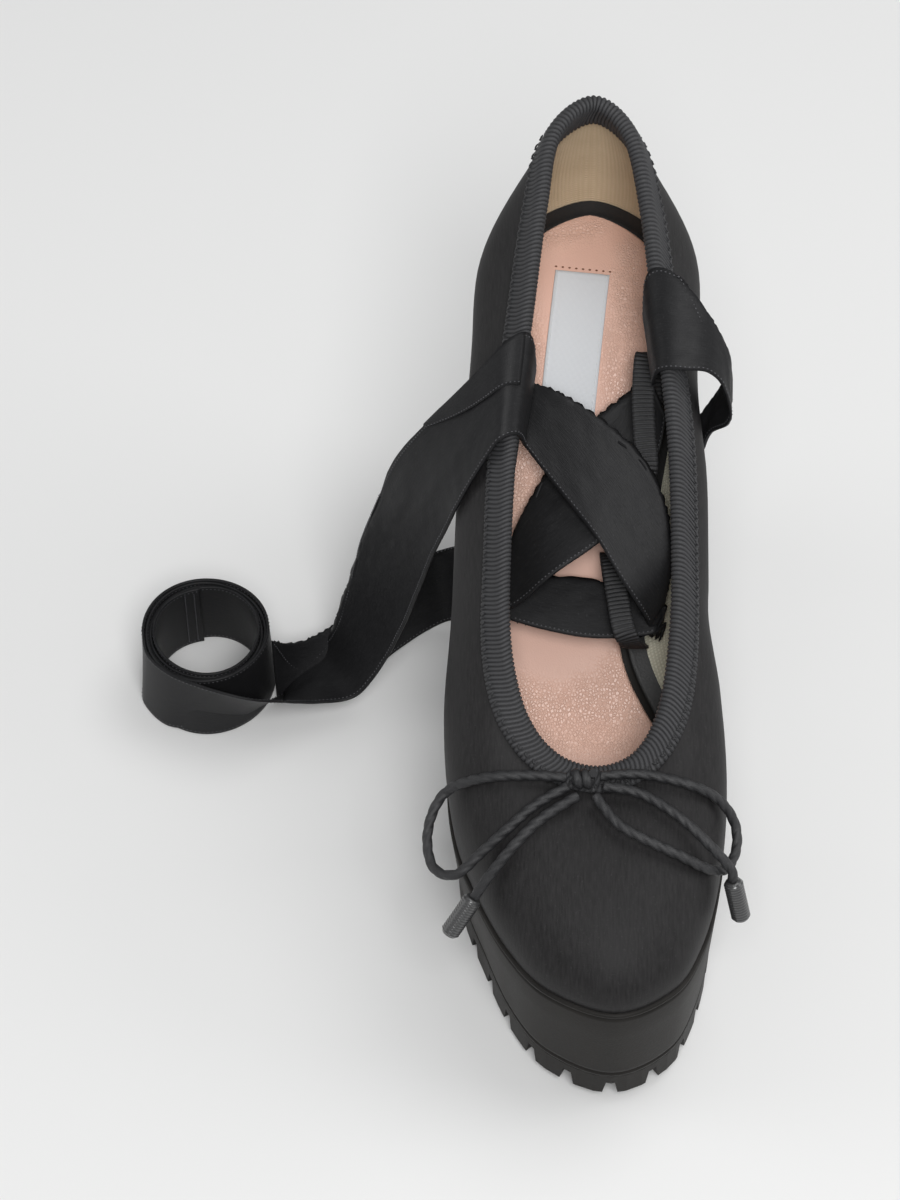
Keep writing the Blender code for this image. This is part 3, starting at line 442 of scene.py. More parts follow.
# The last: the foot's form that the upper, the sole and the insole share. The tables give
# the shoe's sections from heel to toe, and wall_point is a place on the upper's outer face.
LENGTH = 0.229
BALL_WIDTH = 0.0805
HEEL_HEIGHT = 0.1330
PLATFORM_HEIGHT = 0.0455
TOE_SPRING = 0.0050
BACK_HEIGHT = 0.0490
INSTEP_HEIGHT = 0.0320
UPPER_WALL = 0.0018
SHANK_THICKNESS = 0.0070
TREAD_THICKNESS = 0.0100
LEDGE = 0.0010
INSOLE_TOP = 0.0031
CLEARANCE = 0.0003
AXIS_SHIFT = 0.0060 * BALL_WIDTH

# One row a section. Feet of the wall stand on the sole at foot_along, and its edge, the
# topline, lies at top_along. Both are shares of LENGTH from the heel's back. The medial and
# lateral places are shares of BALL_WIDTH from the last's axis, and top_rise is the share of
# the topline's climb from throat to back. The last four are the wall's handles, as shares
# of the straight way from foot to topline: out and up at the foot, out and down at the top.
SECTION_COLUMNS = (
    "foot_along", "foot_medial", "foot_lateral",
    "top_along", "top_medial", "top_lateral", "top_rise",
    "foot_out_medial", "foot_out_lateral", "foot_up", "top_out", "top_down",
)
SECTIONS = (
    (0.015, 0.025, 0.025, 0.015, 0.022, 0.022, 1.000, 0.12, 0.12, 0.34, 0.05, 0.34),
    (0.057, 0.245, -0.212, 0.052, 0.158, -0.130, 0.962, 0.16, 0.16, 0.34, 0.12, 0.34),
    (0.135, 0.342, -0.323, 0.131, 0.218, -0.180, 0.866, 0.33, 0.33, 0.34, 0.20, 0.34),
    (0.245, 0.318, -0.348, 0.245, 0.262, -0.228, 0.722, 0.39, 0.37, 0.34, 0.27, 0.33),
    (0.376, 0.222, -0.373, 0.376, 0.312, -0.284, 0.538, 0.55, 0.34, 0.32, 0.34, 0.30),
    (0.507, 0.168, -0.435, 0.507, 0.328, -0.310, 0.332, 0.61, 0.20, 0.32, 0.27, 0.26),
    (0.629, 0.362, -0.488, 0.585, 0.317, -0.306, 0.208, 0.29, 0.08, 0.32, 0.35, 0.20),
    (0.734, 0.478, -0.472, 0.646, 0.286, -0.268, 0.120, 0.05, 0.04, 0.32, 0.43, 0.10),
    (0.821, 0.462, -0.394, 0.684, 0.240, -0.208, 0.062, 0.04, 0.04, 0.32, 0.47, 0.05),
    (0.904, 0.395, -0.283, 0.708, 0.178, -0.132, 0.025, 0.05, 0.05, 0.31, 0.50, 0.03),
    (0.965, 0.292, -0.143, 0.720, 0.106, -0.052, 0.006, 0.05, 0.05, 0.29, 0.50, 0.03),
    (0.999, 0.087, 0.087, 0.724, 0.029, 0.029, 0.000, 0.05, 0.05, 0.27, 0.50, 0.04),
)

# The sole seen from the side, a row each at a share of LENGTH from the heel's back. rise is
# the share of the climb from the platform to the heel seat, spring that of TOE_SPRING, and
# under the underside's share of the way from the tread up to the shank below the seat.
PROFILE_COLUMNS = ("along", "rise", "spring", "under")
PROFILE = (
    (-0.02, 1.005, 0.0, 1.010),
    (0.06, 0.985, 0.0, 0.990),
    (0.13, 0.952, 0.0, 0.963),
    (0.20, 0.895, 0.0, 0.918),
    (0.27, 0.800, 0.0, 0.845),
    (0.34, 0.655, 0.0, 0.733),
    (0.42, 0.460, 0.0, 0.575),
    (0.47, 0.340, 0.0, 0.455),
    (0.52, 0.228, 0.0, 0.270),
    (0.56, 0.155, 0.0, 0.090),
    (0.595, 0.100, 0.0, 0.000),
    (0.72, 0.008, 0.0, 0.000),
    (0.80, 0.000, 0.08, 0.000),
    (0.90, 0.000, 0.42, 0.000),
    (1.01, 0.000, 1.06, 0.000),
)

# How far the platform's wall draws in from its top to the tread, as a share of BALL_WIDTH
TAPER_COLUMNS = ("along", "medial", "lateral")
TAPER = (
    (0.00, 0.020, 0.020),
    (0.40, 0.012, 0.030),
    (0.60, 0.016, 0.044),
    (0.80, 0.018, 0.046),
    (0.92, 0.012, 0.022),
    (1.00, 0.000, 0.000),
)


def column(table, names, name):
    """One named column of a table, as an array."""
    return np.array([row[names.index(name)] for row in table], float)


def along_table(table, names, name, along):
    """A column read at a share of the length, on a smooth curve that never overshoots."""
    places = column(table, names, "along")
    values = column(table, names, name)
    chords = np.diff(values) / np.diff(places)
    slopes = np.concatenate([chords[:1], np.zeros(len(chords) - 1), chords[-1:]])
    for k in range(1, len(chords)):
        before, after = chords[k - 1], chords[k]
        if before * after > 0:
            slopes[k] = 2 * before * after / (before + after)
    i = int(np.clip(np.searchsorted(places, along) - 1, 0, len(places) - 2))
    span = places[i + 1] - places[i]
    t = float(np.clip((along - places[i]) / span, 0.0, 1.0))
    start = (1 + 2 * t) * (1 - t) ** 2 * values[i] + t * (1 - t) ** 2 * span * slopes[i]
    end = t * t * (3 - 2 * t) * values[i + 1] - t * t * (1 - t) * span * slopes[i + 1]
    return float(start + end)


def place_y(along):
    """World Y of a share of the length, with the toe's ledge counted in the box."""
    return LENGTH * (0.5 - along) + LEDGE / 2


def share_of(y):
    """Share of the length at a world Y."""
    return 0.5 - (y - LEDGE / 2) / LENGTH


def sole_top(y):
    """Height of the sole's upper face, on which the foot's bed and the upper stand."""
    along = share_of(y)
    climb = HEEL_HEIGHT - PLATFORM_HEIGHT
    rise = along_table(PROFILE, PROFILE_COLUMNS, "rise", along)
    spring = along_table(PROFILE, PROFILE_COLUMNS, "spring", along)
    return PLATFORM_HEIGHT + climb * rise + TOE_SPRING * spring


def sole_under(y):
    """Height of the sole unit's underside: on the tread, then up under the shank."""
    along = share_of(y)
    climb = HEEL_HEIGHT - SHANK_THICKNESS - TREAD_THICKNESS
    under = along_table(PROFILE, PROFILE_COLUMNS, "under", along)
    spring = along_table(PROFILE, PROFILE_COLUMNS, "spring", along)
    return TREAD_THICKNESS + climb * under + TOE_SPRING * spring


# The sections closed into one loop: heel, medial side, toe, lateral side
LAST_ROW = len(SECTIONS) - 1
LOOP_ROWS = 2 * LAST_ROW


def loop_column(name):
    """A section column carried once round the shoe, from the heel by the medial side."""
    if name + "_medial" in SECTION_COLUMNS:
        inner = column(SECTIONS, SECTION_COLUMNS, name + "_medial")
        outer = column(SECTIONS, SECTION_COLUMNS, name + "_lateral")
    else:
        inner = outer = column(SECTIONS, SECTION_COLUMNS, name)
    return np.concatenate([inner, outer[LAST_ROW - 1:0:-1]])


LOOPS = {
    name: loop_column(name)
    for name in (
        "foot", "foot_along", "top", "top_along", "top_rise",
        "foot_out", "foot_up", "top_out", "top_down",
    )
}


def around(name, turn):
    """A loop column at a place round the shoe, counted in rows, on a smooth closed curve."""
    values = LOOPS[name]
    i = math.floor(turn)
    return curve_at(turn - i, *(values[(i + k) % LOOP_ROWS] for k in (-1, 0, 1, 2)))


@functools.lru_cache(maxsize=None)
def foot_point(turn):
    """Where the wall's outer face meets the sole."""
    y = place_y(around("foot_along", turn))
    return Vector((around("foot", turn) * BALL_WIDTH + AXIS_SHIFT, y, sole_top(y) + CLEARANCE))


@functools.lru_cache(maxsize=None)
def top_point(turn):
    """The wall's outer edge at the topline."""
    y = place_y(around("top_along", turn))
    edge_along = column(SECTIONS, SECTION_COLUMNS, "top_along")
    throat = sole_top(place_y(edge_along[-1])) + INSTEP_HEIGHT
    back = sole_top(place_y(edge_along[0])) + BACK_HEIGHT
    z = throat + (back - throat) * around("top_rise", turn)
    return Vector((around("top", turn) * BALL_WIDTH + AXIS_SHIFT, y, z))


@functools.lru_cache(maxsize=None)
def outward(point, turn):
    """Level direction away from the shoe's inside, square to a loop at one place."""
    step = 0.05
    way = point(turn + step) - point(turn - step)
    return Vector((way.y, -way.x, 0.0)).normalized() * -1.0


def wall_point(turn, height):
    """The upper's outer face, height 0 at the sole and 1 at the topline."""
    foot = foot_point(turn)
    top = top_point(turn)
    reach = (top - foot).length
    rise = Vector((0.0, 0.0, reach))
    low = foot + outward(foot_point, turn) * reach * around("foot_out", turn)
    low += rise * around("foot_up", turn)
    high = top + outward(top_point, turn) * reach * around("top_out", turn)
    high -= rise * around("top_down", turn)
    t = height
    s = 1.0 - t
    return foot * s ** 3 + low * 3 * s * s * t + high * 3 * s * t * t + top * t ** 3


def wall_normal(turn, height):
    """Outward direction square to the upper's outer face."""
    step = 0.02
    round_way = wall_point(turn + step, height) - wall_point(turn - step, height)
    up_way = wall_point(turn, min(height + step, 1.0)) - wall_point(turn, max(height - step, 0.0))
    return up_way.cross(round_way).normalized()


def wall_offset(turn, height, depth):
    """A point of the wall moved in from its outer face."""
    return wall_point(turn, height) - wall_normal(turn, height) * depth


def rim_point(turn, out):
    """The sole's outline, moved level and outwards from the wall's foot."""
    return foot_point(turn) + outward(foot_point, turn) * out


def taper_at(turn):
    """How far the wall has drawn in by the tread, at a place round the shoe."""
    side = "medial" if turn % LOOP_ROWS <= LAST_ROW else "lateral"
    share = along_table(TAPER, TAPER_COLUMNS, side, around("foot_along", turn))
    return share * BALL_WIDTH


# Ribbon: black satin, 28 mm wide, with a sewn selvedge. Each run is a sheet between two
# edges; where it is narrower than its cloth the rest is folded under, as in the loops.
RIBBON_WIDTH = 0.028
RIBBON_THICKNESS = 0.0007
RIBBON_STEP = 0.0012
RIBBON_COLUMNS = 28
FOLD_DROP = 0.0006
STITCH_PITCH = 0.0013
NARROWEST_SEWN = 0.0075
STITCH_SIZE = (0.0009, 0.00055, 0.00125)
LONG_RIPPLE = (55, 0.12)
SHORT_RIPPLE = (190, 0.30)

ribbon_paint = Paint("ribbon_satin_weave", (0.010, 0.010, 0.011), 0.32, Specular_IOR_Level=0.15)
warp = ribbon_paint.cloud((4200.0, 260.0, 1.0), "UV")
weft = ribbon_paint.cloud((900.0, 3800.0, 1.0), "UV")
specks = ribbon_paint.ramp(ribbon_paint.cloud((1700.0, 1700.0, 1.0), "UV"), 0.60, 0.78)
ribbon_paint.feed("Base Color", ribbon_paint.mixed(
    warp * 0.6 + specks * 0.5, (0.006, 0.006, 0.0065, 1), (0.034, 0.034, 0.036, 1)))
ribbon_paint.feed("Roughness", 0.34 + warp * 0.14 + weft * 0.08)
ribbon_paint.bump(warp + weft * 0.6, 0.00006)


def ribbon_rows(edges, seed, ripple=0.0002):
    """A ribbon's rows between two edges, its spare width folded under."""
    rows = []
    paired = even_rows([(Vector(a), Vector(b)) for a, b in edges], RIBBON_STEP)
    run = lengths([(a + b) / 2 for a, b in paired])
    for k, (near, far) in enumerate(paired):
        before, after = paired[max(k - 1, 0)], paired[min(k + 1, len(paired) - 1)]
        way = (after[0] + after[1]) - (before[0] + before[1])
        across = far - near
        width = min(across.length, RIBBON_WIDTH)
        face = across.cross(way).normalized()
        if face.z < 0:
            face = -face
        row = []
        for j in range(RIBBON_COLUMNS + 1):
            cut = RIBBON_WIDTH * j / RIBBON_COLUMNS
            layer = cut / width
            share = abs((layer + 1) % 2 - 1) if layer > 1 else layer
            lift = ripple * noise.noise(
                Vector((seed, run[k] * LONG_RIPPLE[0], j * LONG_RIPPLE[1])))
            lift += ripple * 0.5 * noise.noise(
                Vector((seed + 9, run[k] * SHORT_RIPPLE[0], j * SHORT_RIPPLE[1])))
            row.append(near + across * share + face * (lift - max(layer - 1, 0) * FOLD_DROP))
        rows.append(row)
    return rows


def stitched(rows, columns):
    """Stitch places along some columns of a sheet's rows."""
    places = []
    for j in columns:
        line = [row[j] for row in rows]
        run = lengths(line)
        for k in range(int(run[-1] / STITCH_PITCH)):
            i = int(np.searchsorted(run, (k + 0.5) * STITCH_PITCH)) - 1
            i = min(max(i, 0), len(line) - 2)
            if (rows[i][0] - rows[i][RIBBON_COLUMNS // 2]).length < NARROWEST_SEWN:
                continue
            share = ((k + 0.5) * STITCH_PITCH - run[i]) / max(run[i + 1] - run[i], 1e-9)
            way = line[i + 1] - line[i]
            if way.length < 1e-7:
                continue
            neighbour = rows[i][j + 1] if j < RIBBON_COLUMNS else rows[i][j - 1]
            up = (neighbour - rows[i][j]).cross(way)
            if up.length > 1e-12:
                places.append((line[i].lerp(line[i + 1], share), way, up.normalized()))
    return places


def ribbon_piece(name, rows, nodes, columns=(1, RIBBON_COLUMNS - 1)):
    """One run of ribbon with the stitches of its selvedges."""
    piece = shown(name, quads(rows), ribbon_paint, nodes, RIBBON_THICKNESS)
    stitches = stitching(name + "_stitches", stitched(rows, columns), STITCH_SIZE,
                         thread_paint, True)


thread_paint = Paint("selvedge_thread", (0.045, 0.045, 0.050), 0.45)
fibres = thread_paint.cloud(5000.0)
thread_paint.feed("Base Color", thread_paint.mixed(
    fibres, (0.020, 0.020, 0.022, 1), (0.120, 0.120, 0.130, 1)))
thread_paint.bump(fibres, 0.0001)

# Ribbon lacing: two runs that cross and a bar, one ribbon joined at the loops. A row gives
# the run's heelward edge and its toeward edge, in the shares of bed_point.
LACING = {
    "bar": (
        (0.478, -0.335, 0.450, 0.504, -0.335, 0.521),
        (0.475, -0.308, 0.444, 0.509, -0.308, 0.547),
        (0.459, -0.158, 0.359, 0.526, -0.159, 0.626),
        (0.461, -0.003, 0.373, 0.537, -0.003, 0.667),
        (0.472, 0.121, 0.443, 0.538, 0.133, 0.674),
        (0.485, 0.226, 0.508, 0.535, 0.226, 0.674),
        (0.489, 0.257, 0.520, 0.531, 0.257, 0.667),
    ),
    "under": (
        (0.474, -0.326, 0.329, 0.498, -0.326, 0.393),
        (0.459, -0.314, 0.375, 0.507, -0.309, 0.609),
        (0.428, -0.277, 0.357, 0.509, -0.240, 0.765),
        (0.391, -0.208, 0.404, 0.493, -0.121, 0.953),
        (0.347, -0.103, 0.363, 0.448, 0.077, 0.847),
        (0.308, 0.034, 0.357, 0.384, 0.199, 0.578),
        (0.284, 0.146, 0.364, 0.354, 0.261, 0.530),
        (0.266, 0.218, 0.437, 0.319, 0.286, 0.532),
    ),
    "over": (
        (0.279, -0.227, 0.482, 0.323, -0.271, 0.559),
        (0.290, -0.171, 0.586, 0.345, -0.240, 0.599),
        (0.308, -0.078, 0.685, 0.367, -0.190, 0.663),
        (0.343, 0.077, 0.789, 0.408, -0.090, 0.789),
        (0.380, 0.208, 0.845, 0.456, 0.028, 0.936),
        (0.430, 0.286, 0.934, 0.498, 0.115, 0.996),
        (0.478, 0.305, 0.950, 0.520, 0.177, 0.937),
        (0.500, 0.292, 0.791, 0.526, 0.220, 0.738),
        (0.504, 0.274, 0.552, 0.524, 0.233, 0.555),
        (0.504, 0.264, 0.349, 0.520, 0.235, 0.406),
    ),
}


def bed_point(along, across, rise):
    """A place over the insole, in shares of the length, the ball and the instep height."""
    y = place_y(along)
    return Vector((across * BALL_WIDTH + AXIS_SHIFT, y, sole_top(y) + rise * INSTEP_HEIGHT))


for name, route in LACING.items():
    edges = [(bed_point(*row[3:]), bed_point(*row[:3])) for row in route]
    nodes = ["ribbon_lacing"] if name == "bar" else []
    rows = ribbon_rows(edges, 3.0 + len(name))
    ribbon_piece("lacing_" + name, rows, nodes,
                 (1,))

# Ribbon tails and roll: each tail goes over the topline and down to the floor. The left one
# becomes the roll's outer wrap. A row is a point of the upper edge and one of the lower.
TAIL_RIPPLE = 0.0003
LEFT_TAIL = (
    (-0.0145, 0.0470, 0.1395, -0.0178, 0.0290, 0.1270),
    (-0.0152, 0.0500, 0.1480, -0.0188, 0.0275, 0.1325),
    (-0.0176, 0.0505, 0.1522, -0.0210, 0.0260, 0.1360),
    (-0.0220, 0.0480, 0.1523, -0.0253, 0.0240, 0.1355),
    (-0.0272, 0.0445, 0.1478, -0.0291, 0.0220, 0.1292),
    (-0.0355, 0.0420, 0.1370, -0.0340, 0.0200, 0.1185),
    (-0.0460, 0.0420, 0.1205, -0.0380, 0.0190, 0.1070),
    (-0.0550, 0.0428, 0.1030, -0.0415, 0.0195, 0.0945),
    (-0.0605, 0.0432, 0.0830, -0.0450, 0.0208, 0.0800),
)
RIGHT_TAIL = (
    (0.0163, 0.0600, 0.1495, 0.0190, 0.0430, 0.1370),
    (0.0168, 0.0655, 0.1578, 0.0200, 0.0420, 0.1438),
    (0.0203, 0.0660, 0.1622, 0.0232, 0.0410, 0.1467),
    (0.0260, 0.0630, 0.1618, 0.0285, 0.0405, 0.1470),
    (0.0325, 0.0570, 0.1575, 0.0345, 0.0405, 0.1460),
    (0.0380, 0.0510, 0.1505, 0.0390, 0.0390, 0.1410),
    (0.0413, 0.0480, 0.1410, 0.0413, 0.0360, 0.1290),
    (0.0390, 0.0500, 0.1270, 0.0358, 0.0400, 0.1175),
    (0.0345, 0.0485, 0.1175, 0.0332, 0.0360, 0.1080),
    (0.0295, 0.0470, 0.1060, 0.0270, 0.0310, 0.0940),
    (0.0230, 0.0455, 0.0900, 0.0190, 0.0240, 0.0770),
    (0.0120, 0.0450, 0.0760, 0.0080, 0.0200, 0.0640),
    (0.0050, 0.0450, 0.0660, 0.0010, 0.0195, 0.0500),
    (-0.0120, 0.0465, 0.0580, -0.0140, 0.0245, 0.0380),
    (-0.0270, 0.0570, 0.0420, -0.0270, 0.0400, 0.0200),
    (-0.0400, 0.0640, 0.0280, -0.0400, 0.0540, 0.0030),
    (-0.0540, 0.0610, 0.0230, -0.0560, 0.0440, 0.0010),
    (-0.0660, 0.0540, 0.0160, -0.0650, 0.0340, 0.0010),
    (-0.0750, 0.0470, 0.0120, -0.0740, 0.0270, 0.0015),
    (-0.0840, 0.0395, 0.0140, -0.0840, 0.0262, 0.0010),
    (-0.0892, 0.0350, 0.0185, -0.0890, 0.0268, 0.0010),
    (-0.0938, 0.0308, 0.0262, -0.0932, 0.0262, 0.0010),
)

# Where the left tail comes down it leans over, and its edges change places as it becomes the
# roll's outer wrap.
TWIST = (
    ((-0.0660, 0.0439, 0.0600), (-0.0492, 0.0228, 0.0600)),
    ((-0.0705, 0.0435, 0.0390), (-0.0535, 0.0245, 0.0405)),
    ((-0.0745, 0.0423, 0.0230), (-0.0590, 0.0235, 0.0250)),
    ((-0.0780, 0.0420, 0.0085), (-0.0680, 0.0185, 0.0135)),
    ((-0.0850, 0.0385, 0.0040), (-0.0795, 0.0150, 0.0150)),
    ((-0.0910, 0.0270, 0.0015), (-0.0900, 0.0110, 0.0215)),
)
WRAP = (
    ((-0.0910, 0.0270, 0.0015), (-0.0900, 0.0110, 0.0215)),
    ((-0.0975, 0.0215, 0.0040), (-0.0980, 0.0085, 0.0260)),
    ((-0.1040, 0.0170, 0.0050), (-0.1060, 0.0090, 0.0283)),
    ((-0.1170, 0.0146, 0.0030), (-0.1155, 0.0122, 0.0287)),
    ((-0.1270, 0.0162, 0.0008), (-0.1250, 0.0170, 0.0286)),
    ((-0.1345, 0.0245, 0.0006), (-0.1318, 0.0240, 0.0284)),
)
ROLL_MIDDLE = (-0.1143, 0.0330)
ROLL_START = 0.0200
ROLL_END = 0.0158
ROLL_FROM = math.radians(187)
ROLL_SWEEP = math.radians(1522)
ROLL_STEPS = 300
ROLL_LEAD = 0.10
ROLL_STEP = 0.0010
ROLL_FOOT = 0.0006
ROLL_TOP = 0.0279
ROLL_WANDER = 0.00025
ROLL_SWAY = 0.0008
ROLL_FLARE = 0.0006

left_edges = [(row[3:], row[:3]) for row in LEFT_TAIL] + [(low, high) for high, low in TWIST]
left_rows = ribbon_rows(left_edges, 21.0, TAIL_RIPPLE)

# At the topline the left tail is folded over on itself, and the fold tapers away down it.
FOLD_FROM = Vector((-0.0176, 0.0505, 0.1522))
FOLD_TO = Vector((-0.0460, 0.0420, 0.1205))
FOLD_SHARE = 0.52
FOLD_COLUMNS = 10
FOLD_TAPER = 0.8
FOLD_LIFT = 0.00095


def nearest_row(rows, point):
    return min(range(len(rows)), key=lambda k: (rows[k][-1] - point).length)


first, last = nearest_row(left_rows, FOLD_FROM), nearest_row(left_rows, FOLD_TO)
fold_rows = []
for k in range(first, last + 1):
    row = left_rows[k]
    reach = FOLD_SHARE * (1.0 - (k - first) / (last - first + 1)) ** FOLD_TAPER
    way = left_rows[k + 1][RIBBON_COLUMNS // 2] - row[RIBBON_COLUMNS // 2]
    face = (row[-1] - row[0]).cross(way).normalized()
    if face.z < 0:
        face = -face
    line = []
    for j in range(FOLD_COLUMNS + 1):
        share = j / FOLD_COLUMNS
        lift = FOLD_LIFT * math.sin(math.pi * min(1.0, 0.15 + share * 1.2) / 2) ** 0.5
        line.append(row[-1].lerp(row[0], reach * share) + face * lift)
    fold_rows.append(line)
fold = shown("tail_left_fold", quads(fold_rows), ribbon_paint, (), RIBBON_THICKNESS)
hem_line = [row[-2].lerp(row[-1], 0.4) for row in fold_rows]
fold_places = []
for a, b, row in zip(hem_line, hem_line[1:], fold_rows):
    fold_places.append(((a + b) / 2, b - a, (row[-1] - row[0]).cross(b - a).normalized()))
fold_stitches = stitching("tail_left_fold_stitches", fold_places, STITCH_SIZE, thread_paint)
ribbon_piece("tail_left_ribbon", left_rows, ["ribbon_tail_left"])

right_rows = ribbon_rows([(row[3:], row[:3]) for row in RIGHT_TAIL], 33.0, TAIL_RIPPLE)
ribbon_piece("tail_right_ribbon", right_rows, ["ribbon_tail_right"])

roll_edges = [(Vector(low), Vector(high)) for low, high in WRAP]
for k in range(ROLL_STEPS + 1):
    share = k / ROLL_STEPS
    angle = ROLL_FROM - ROLL_LEAD - ROLL_SWEEP * share
    radius = ROLL_START + (ROLL_END - ROLL_START) * share
    radius += ROLL_WANDER * math.sin(3 * angle + 6 * share)
    flare = ROLL_FLARE * (1.0 - share)
    x = ROLL_MIDDLE[0] + radius * math.cos(angle)
    y = ROLL_MIDDLE[1] + radius * math.sin(angle)
    lift = ROLL_SWAY * math.sin(7.0 * share + 1.0)
    roll_edges.append((
        Vector((x + flare * math.cos(angle), y + flare * math.sin(angle), ROLL_FOOT)),
        Vector((x - flare * math.cos(angle), y - flare * math.sin(angle), ROLL_TOP + lift)),
    ))
roll_rows = [
    [low.lerp(high, j / RIBBON_COLUMNS) for j in range(RIBBON_COLUMNS + 1)]
    for low, high in even_rows(roll_edges, ROLL_STEP)
]

# The ribbon's cut end inside the roll, sewn twice: two rows of stitches just inside it.
HEM_ROWS = (3, 6)
HEM_LIFT = 0.0005
HEM_STITCH_SIZE = (0.0009, 0.0005, 0.0006)

hem_places = []
for back in HEM_ROWS:
    line = roll_rows[-back]
    for k in range(2, RIBBON_COLUMNS - 1):
        point = line[k]
        inward = (Vector((*ROLL_MIDDLE, point.z)) - point).normalized()
        hem_places.append((point + inward * HEM_LIFT, UP, inward))
hem_stitches = stitching("roll_hem_stitches", hem_places, HEM_STITCH_SIZE, thread_paint)
ribbon_piece("roll_ribbon", roll_rows, ["ribbon_roll"])

# Upper: black satin over a lining, one wall 1.8 mm thick, open at the topline and under the
# foot. The heel is lined with beige canvas and the sides with a paler weave.
UPPER_TURNS = 8
UPPER_LEVELS = 22
HEEL_LINING_Y = 0.066
HEEL_LINING_BLEND = 0.001

satin_paint = Paint("upper_satin_weave", (0.016, 0.0155, 0.016), 0.48, Specular_IOR_Level=0.24)
grain = satin_paint.cloud((1700.0, 260.0, 260.0))
cross_grain = satin_paint.cloud((700.0, 2800.0, 2800.0))
flecks = satin_paint.ramp(satin_paint.cloud((1500.0, 1300.0, 1300.0)), 0.62, 0.80)
satin_paint.feed("Base Color", satin_paint.mixed(
    grain * 0.7 + flecks * 0.35, (0.003, 0.0028, 0.003, 1), (0.038, 0.036, 0.037, 1)))
satin_paint.feed("Roughness", 0.52 + grain * 0.18)
satin_paint.bump(grain + cross_grain * 0.7, 0.00007)

lining_paint = Paint("lining_cloth", (0.56, 0.50, 0.38), 0.85, Specular_IOR_Level=0.2)
where = lining_paint.node("ShaderNodeSeparateXYZ", {}, {0: lining_paint.place(1.0)})
at_heel = lining_paint.ramp(
    Term(lining_paint, where.outputs[1]),
    HEEL_LINING_Y - HEEL_LINING_BLEND, HEEL_LINING_Y + HEEL_LINING_BLEND)
threads_up = lining_paint.bands((420.0, 1.0, 1.0), "X")
threads_round = lining_paint.bands((1.0, 420.0, 1.0), "Y")
patches = lining_paint.cloud(90.0)
weave_height = threads_up * threads_round
pale = lining_paint.mixed(
    weave_height * 0.6 + patches * 0.4, (0.46, 0.44, 0.34, 1), (0.78, 0.76, 0.64, 1))
canvas = lining_paint.mixed(
    weave_height * 0.3 + patches * 0.7, (0.50, 0.38, 0.24, 1), (0.74, 0.60, 0.43, 1))
lining_paint.feed("Base Color", lining_paint.mixed(at_heel, pale, canvas))
lining_paint.bump(weave_height, 0.00015)

upper_rows = []
for i in range(LOOP_ROWS * UPPER_TURNS):
    turn = i / UPPER_TURNS
    heights = [j / UPPER_LEVELS for j in range(UPPER_LEVELS + 1)]
    outside = [wall_offset(turn, height, 0.0) for height in heights]
    inside = [wall_offset(turn, height, UPPER_WALL) for height in reversed(heights)]
    upper_rows.append(outside + inside)
upper_body = quads(upper_rows, across_closed=True, along_closed=True)
upper_body.faces.ensure_lookup_table()
for k, face in enumerate(upper_body.faces):
    face.material_index = 1 if k % (2 * UPPER_LEVELS + 2) > UPPER_LEVELS else 0
upper = shown("upper_satin", upper_body, satin_paint, ["upper"])
upper.data.materials.append(lining_paint.material)

# Binding: ribbed grosgrain folded over the topline, a rib every 1.25 mm, sewn along its outer
# edge with a close zigzag. The drawcord runs inside it.
BINDING_WIDTH = 0.0068
BINDING_LIFT = 0.0011
RIB_PITCH = 0.00125
RIB_HEIGHT = 0.00062
RIB_RINGS = 5
RIB_SLANT = 0.0012
BINDING_TURNS = 6
BINDING_THICKNESS = 0.0004
OUTER_POINTS = 7
OVER_POINTS = 7
INNER_POINTS = 6
HEM_SHARE = 0.45
ZIGZAG_SIZE = (0.0019, 0.0006, 0.0006)
ZIGZAG_LIFT = 0.0004
# The zigzag's fixed place on the tape's painted scale from groove shade to crest highlight
ZIGZAG_SHADE_LEVEL = 0.6

rib_paint = Paint("grosgrain_tape", (0.012, 0.012, 0.013), 0.62)
rib_grain = rib_paint.cloud(3000.0)
# The tape's colour follows each point's height on its rib: darker in the grooves, a painted shade, and
# lighter on the crests, a painted highlight.
rib_shade_node = rib_paint.node("ShaderNodeAttribute", {"attribute_name": "rib"}, {})
rib_shade_and_highlight = Term(rib_paint, rib_shade_node.outputs["Fac"])
rib_paint.feed("Base Color", rib_paint.mixed(
    rib_shade_and_highlight * (0.7 + rib_grain * 0.6), (0.0015, 0.0015, 0.0018, 1), (0.042, 0.042, 0.045, 1)))
rib_paint.feed("Roughness", 0.50 + rib_grain * 0.25)
rib_paint.bump(rib_grain, 0.00012)


def height_below_top(turn, drop):
    """Height share of the wall's point that lies a running length below the topline."""
    heights = np.linspace(1.0, 0.5, 24)
    run = lengths([wall_point(turn, height) for height in heights])
    return float(np.interp(drop, run, heights))


def binding_profile(turn):
    """The tape's section over the edge, from its outer hem over the top to its inner one."""
    low = height_below_top(turn, BINDING_WIDTH)
    up = (wall_point(turn, 1.0) - wall_point(turn, 0.97)).normalized()
    out = wall_normal(turn, 1.0)
    ring = []
    for k in range(OUTER_POINTS):
        height = low + (1.0 - low) * k / (OUTER_POINTS - 0.5)
        lift = BINDING_LIFT * min(1.0, HEM_SHARE + k / 2.0)
        ring.append((wall_offset(turn, height, -lift), wall_normal(turn, height)))
    middle = wall_offset(turn, 1.0, UPPER_WALL / 2)
    half = UPPER_WALL / 2 + BINDING_LIFT
    for k in range(OVER_POINTS):
        angle = math.pi * k / (OVER_POINTS - 1)
        away = out * math.cos(angle) + up * math.sin(angle)
        ring.append((middle + away * half, away))
    for k in range(INNER_POINTS):
        height = 1.0 - (1.0 - low) * (k + 0.5) / (INNER_POINTS - 0.5)
        ring.append((wall_offset(turn, height, UPPER_WALL + BINDING_LIFT), -wall_normal(turn, height)))
    return ring


